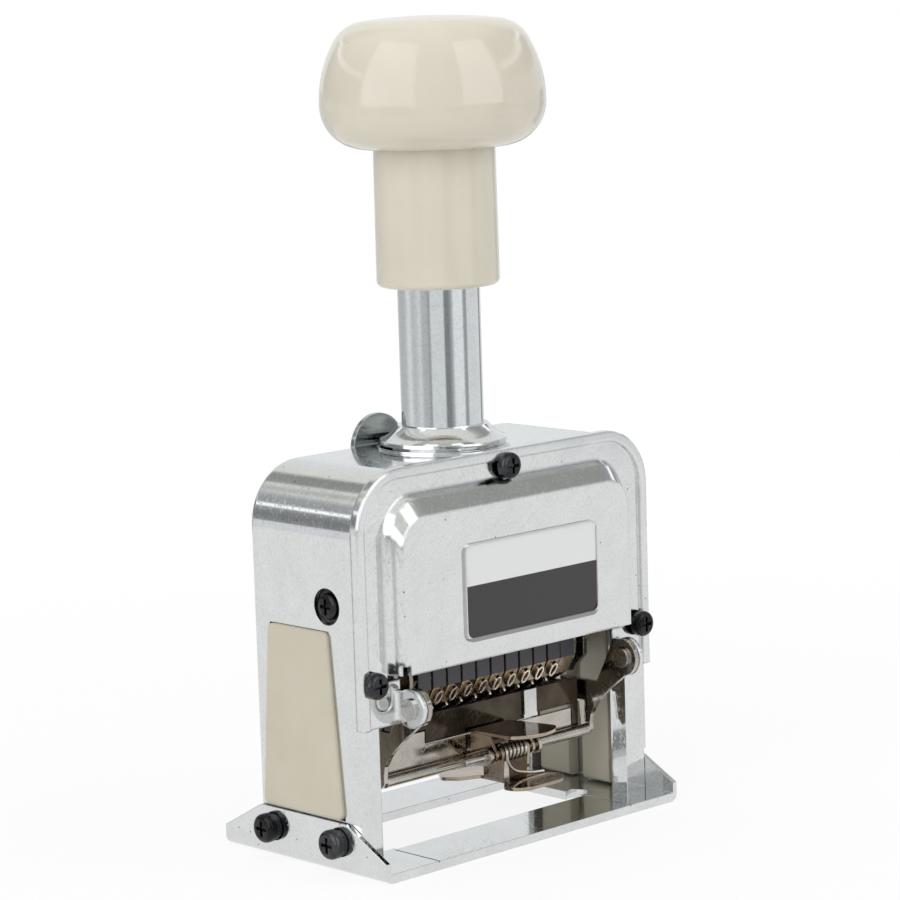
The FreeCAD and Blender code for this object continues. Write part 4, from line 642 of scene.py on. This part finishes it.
def makeWorld():
    # White for the camera. Reflections see a white studio with upright gaps round the horizon, and higher up
    # dark and bright bands on the left and on the right; the side behind the object stays open and white
    world = bpy.data.worlds.new("studio")
    bpy.context.scene.world = world
    world.use_nodes = True
    tree = world.node_tree
    light = addNode(tree, "ShaderNodeLightPath").outputs
    turned = addNode(tree, "ShaderNodeVectorRotate", rotation_type="Z_AXIS",
                     Angle=radians(camera["yaw"] + 90))
    wire(tree, addNode(tree, "ShaderNodeTexCoord").outputs["Generated"], turned.inputs["Vector"])
    spot = separated(tree, turned.outputs["Vector"])
    turn = mathNode(tree, "ARCTAN2", spot["Y"], spot["X"])
    aside = mathNode(tree, "ABSOLUTE", turn)
    rise = mathNode(tree, "ARCSINE", spot["Z"])
    heading = mathNode(tree, "MULTIPLY_ADD", turn, 0.5 / pi, 0.5)
    height = mathNode(tree, "MULTIPLY_ADD", rise, 1 / pi, 0.5)
    around, leftHigh, front = (bands(tree, heading, name, 180) for name in ("around", "leftHigh", "front"))
    leftLow, rightSide = (bands(tree, height, name, 90) for name in ("leftLow", "rightSide"))
    high = mathNode(tree, "GREATER_THAN", rise, radians(studio["highFrom"]))
    onRight = mathNode(tree, "GREATER_THAN", turn, 0.0)
    banded = mixColour(tree, onRight, mixColour(tree, high, leftLow, leftHigh), rightSide)
    overhead = mathNode(tree, "GREATER_THAN", rise, radians(studio["frontTop"]))
    boxes = mixColour(tree, overhead, front, studio["frontTone"])
    inFront = mathNode(tree, "LESS_THAN", aside, radians(studio["frontTo"]))
    banded = mixColour(tree, inFront, banded, boxes)
    opened = mapRange(tree, aside, *map(radians, studio["backOpen"]))
    banded = mixColour(tree, opened, banded, studio["backTone"])
    tint = mixColour(tree, high, studio["cool"], studio["olive"])
    banded = mixColour(tree, 1.0, banded, tint, blend="MULTIPLY")
    horizon = mixColour(tree, 1.0, around, studio["cool"], blend="MULTIPLY")
    glossy = mixColour(tree, mathNode(tree, "LESS_THAN", rise, 0.0), banded, horizon)
    other = mixColour(tree, light["Is Glossy Ray"], (studio["worldDiffuse"],) * 3, glossy)
    shown = mixColour(tree, light["Is Camera Ray"], other, (1.0, 1.0, 1.0))
    wire(tree, shown, tree.nodes["Background"].inputs["Color"])


def makeLamps():
    for name, lamp in lamps.items():
        light = bpy.data.lights.new(name, "AREA")
        light.shape = "RECTANGLE"
        light.size, light.size_y = lamp["size"]
        light.energy = lamp["watts"]
        thing = bpy.data.objects.new(name, light)
        bpy.context.scene.collection.objects.link(thing)
        thing.location = lamp["at"]
        thing.visible_glossy = False
        thing.rotation_mode = "QUATERNION"
        thing.rotation_quaternion = (Vector(lampAim) - Vector(lamp["at"])).to_track_quat("-Z", "Y")


def makeCamera():
    data = bpy.data.cameras.new("photoCamera")
    data.sensor_width = camera["sensor"]
    data.lens = camera["focalPixels"] / camera["framePixels"] * camera["sensor"]
    thing = bpy.data.objects.new("photoCamera", data)
    bpy.context.scene.collection.objects.link(thing)
    yaw, pitch, roll = (radians(camera[key]) for key in ("yaw", "pitch", "roll"))
    forward = Vector((sin(yaw) * cos(pitch), cos(yaw) * cos(pitch), -sin(pitch)))
    right = Vector((cos(yaw), -sin(yaw), 0))
    up = right.cross(forward)
    rolledRight = right * cos(roll) + up * sin(roll)
    rolledUp = up * cos(roll) - right * sin(roll)
    turn = Matrix((rolledRight, rolledUp, -forward)).transposed()
    thing.matrix_world = Matrix.Translation(camera["at"]) @ turn.to_4x4()
    bpy.context.scene.camera = thing


makeFloor()
makeWorld()
makeLamps()
makeCamera()
bpy.context.scene.view_settings.view_transform = "Standard"
print("studio and camera ready")
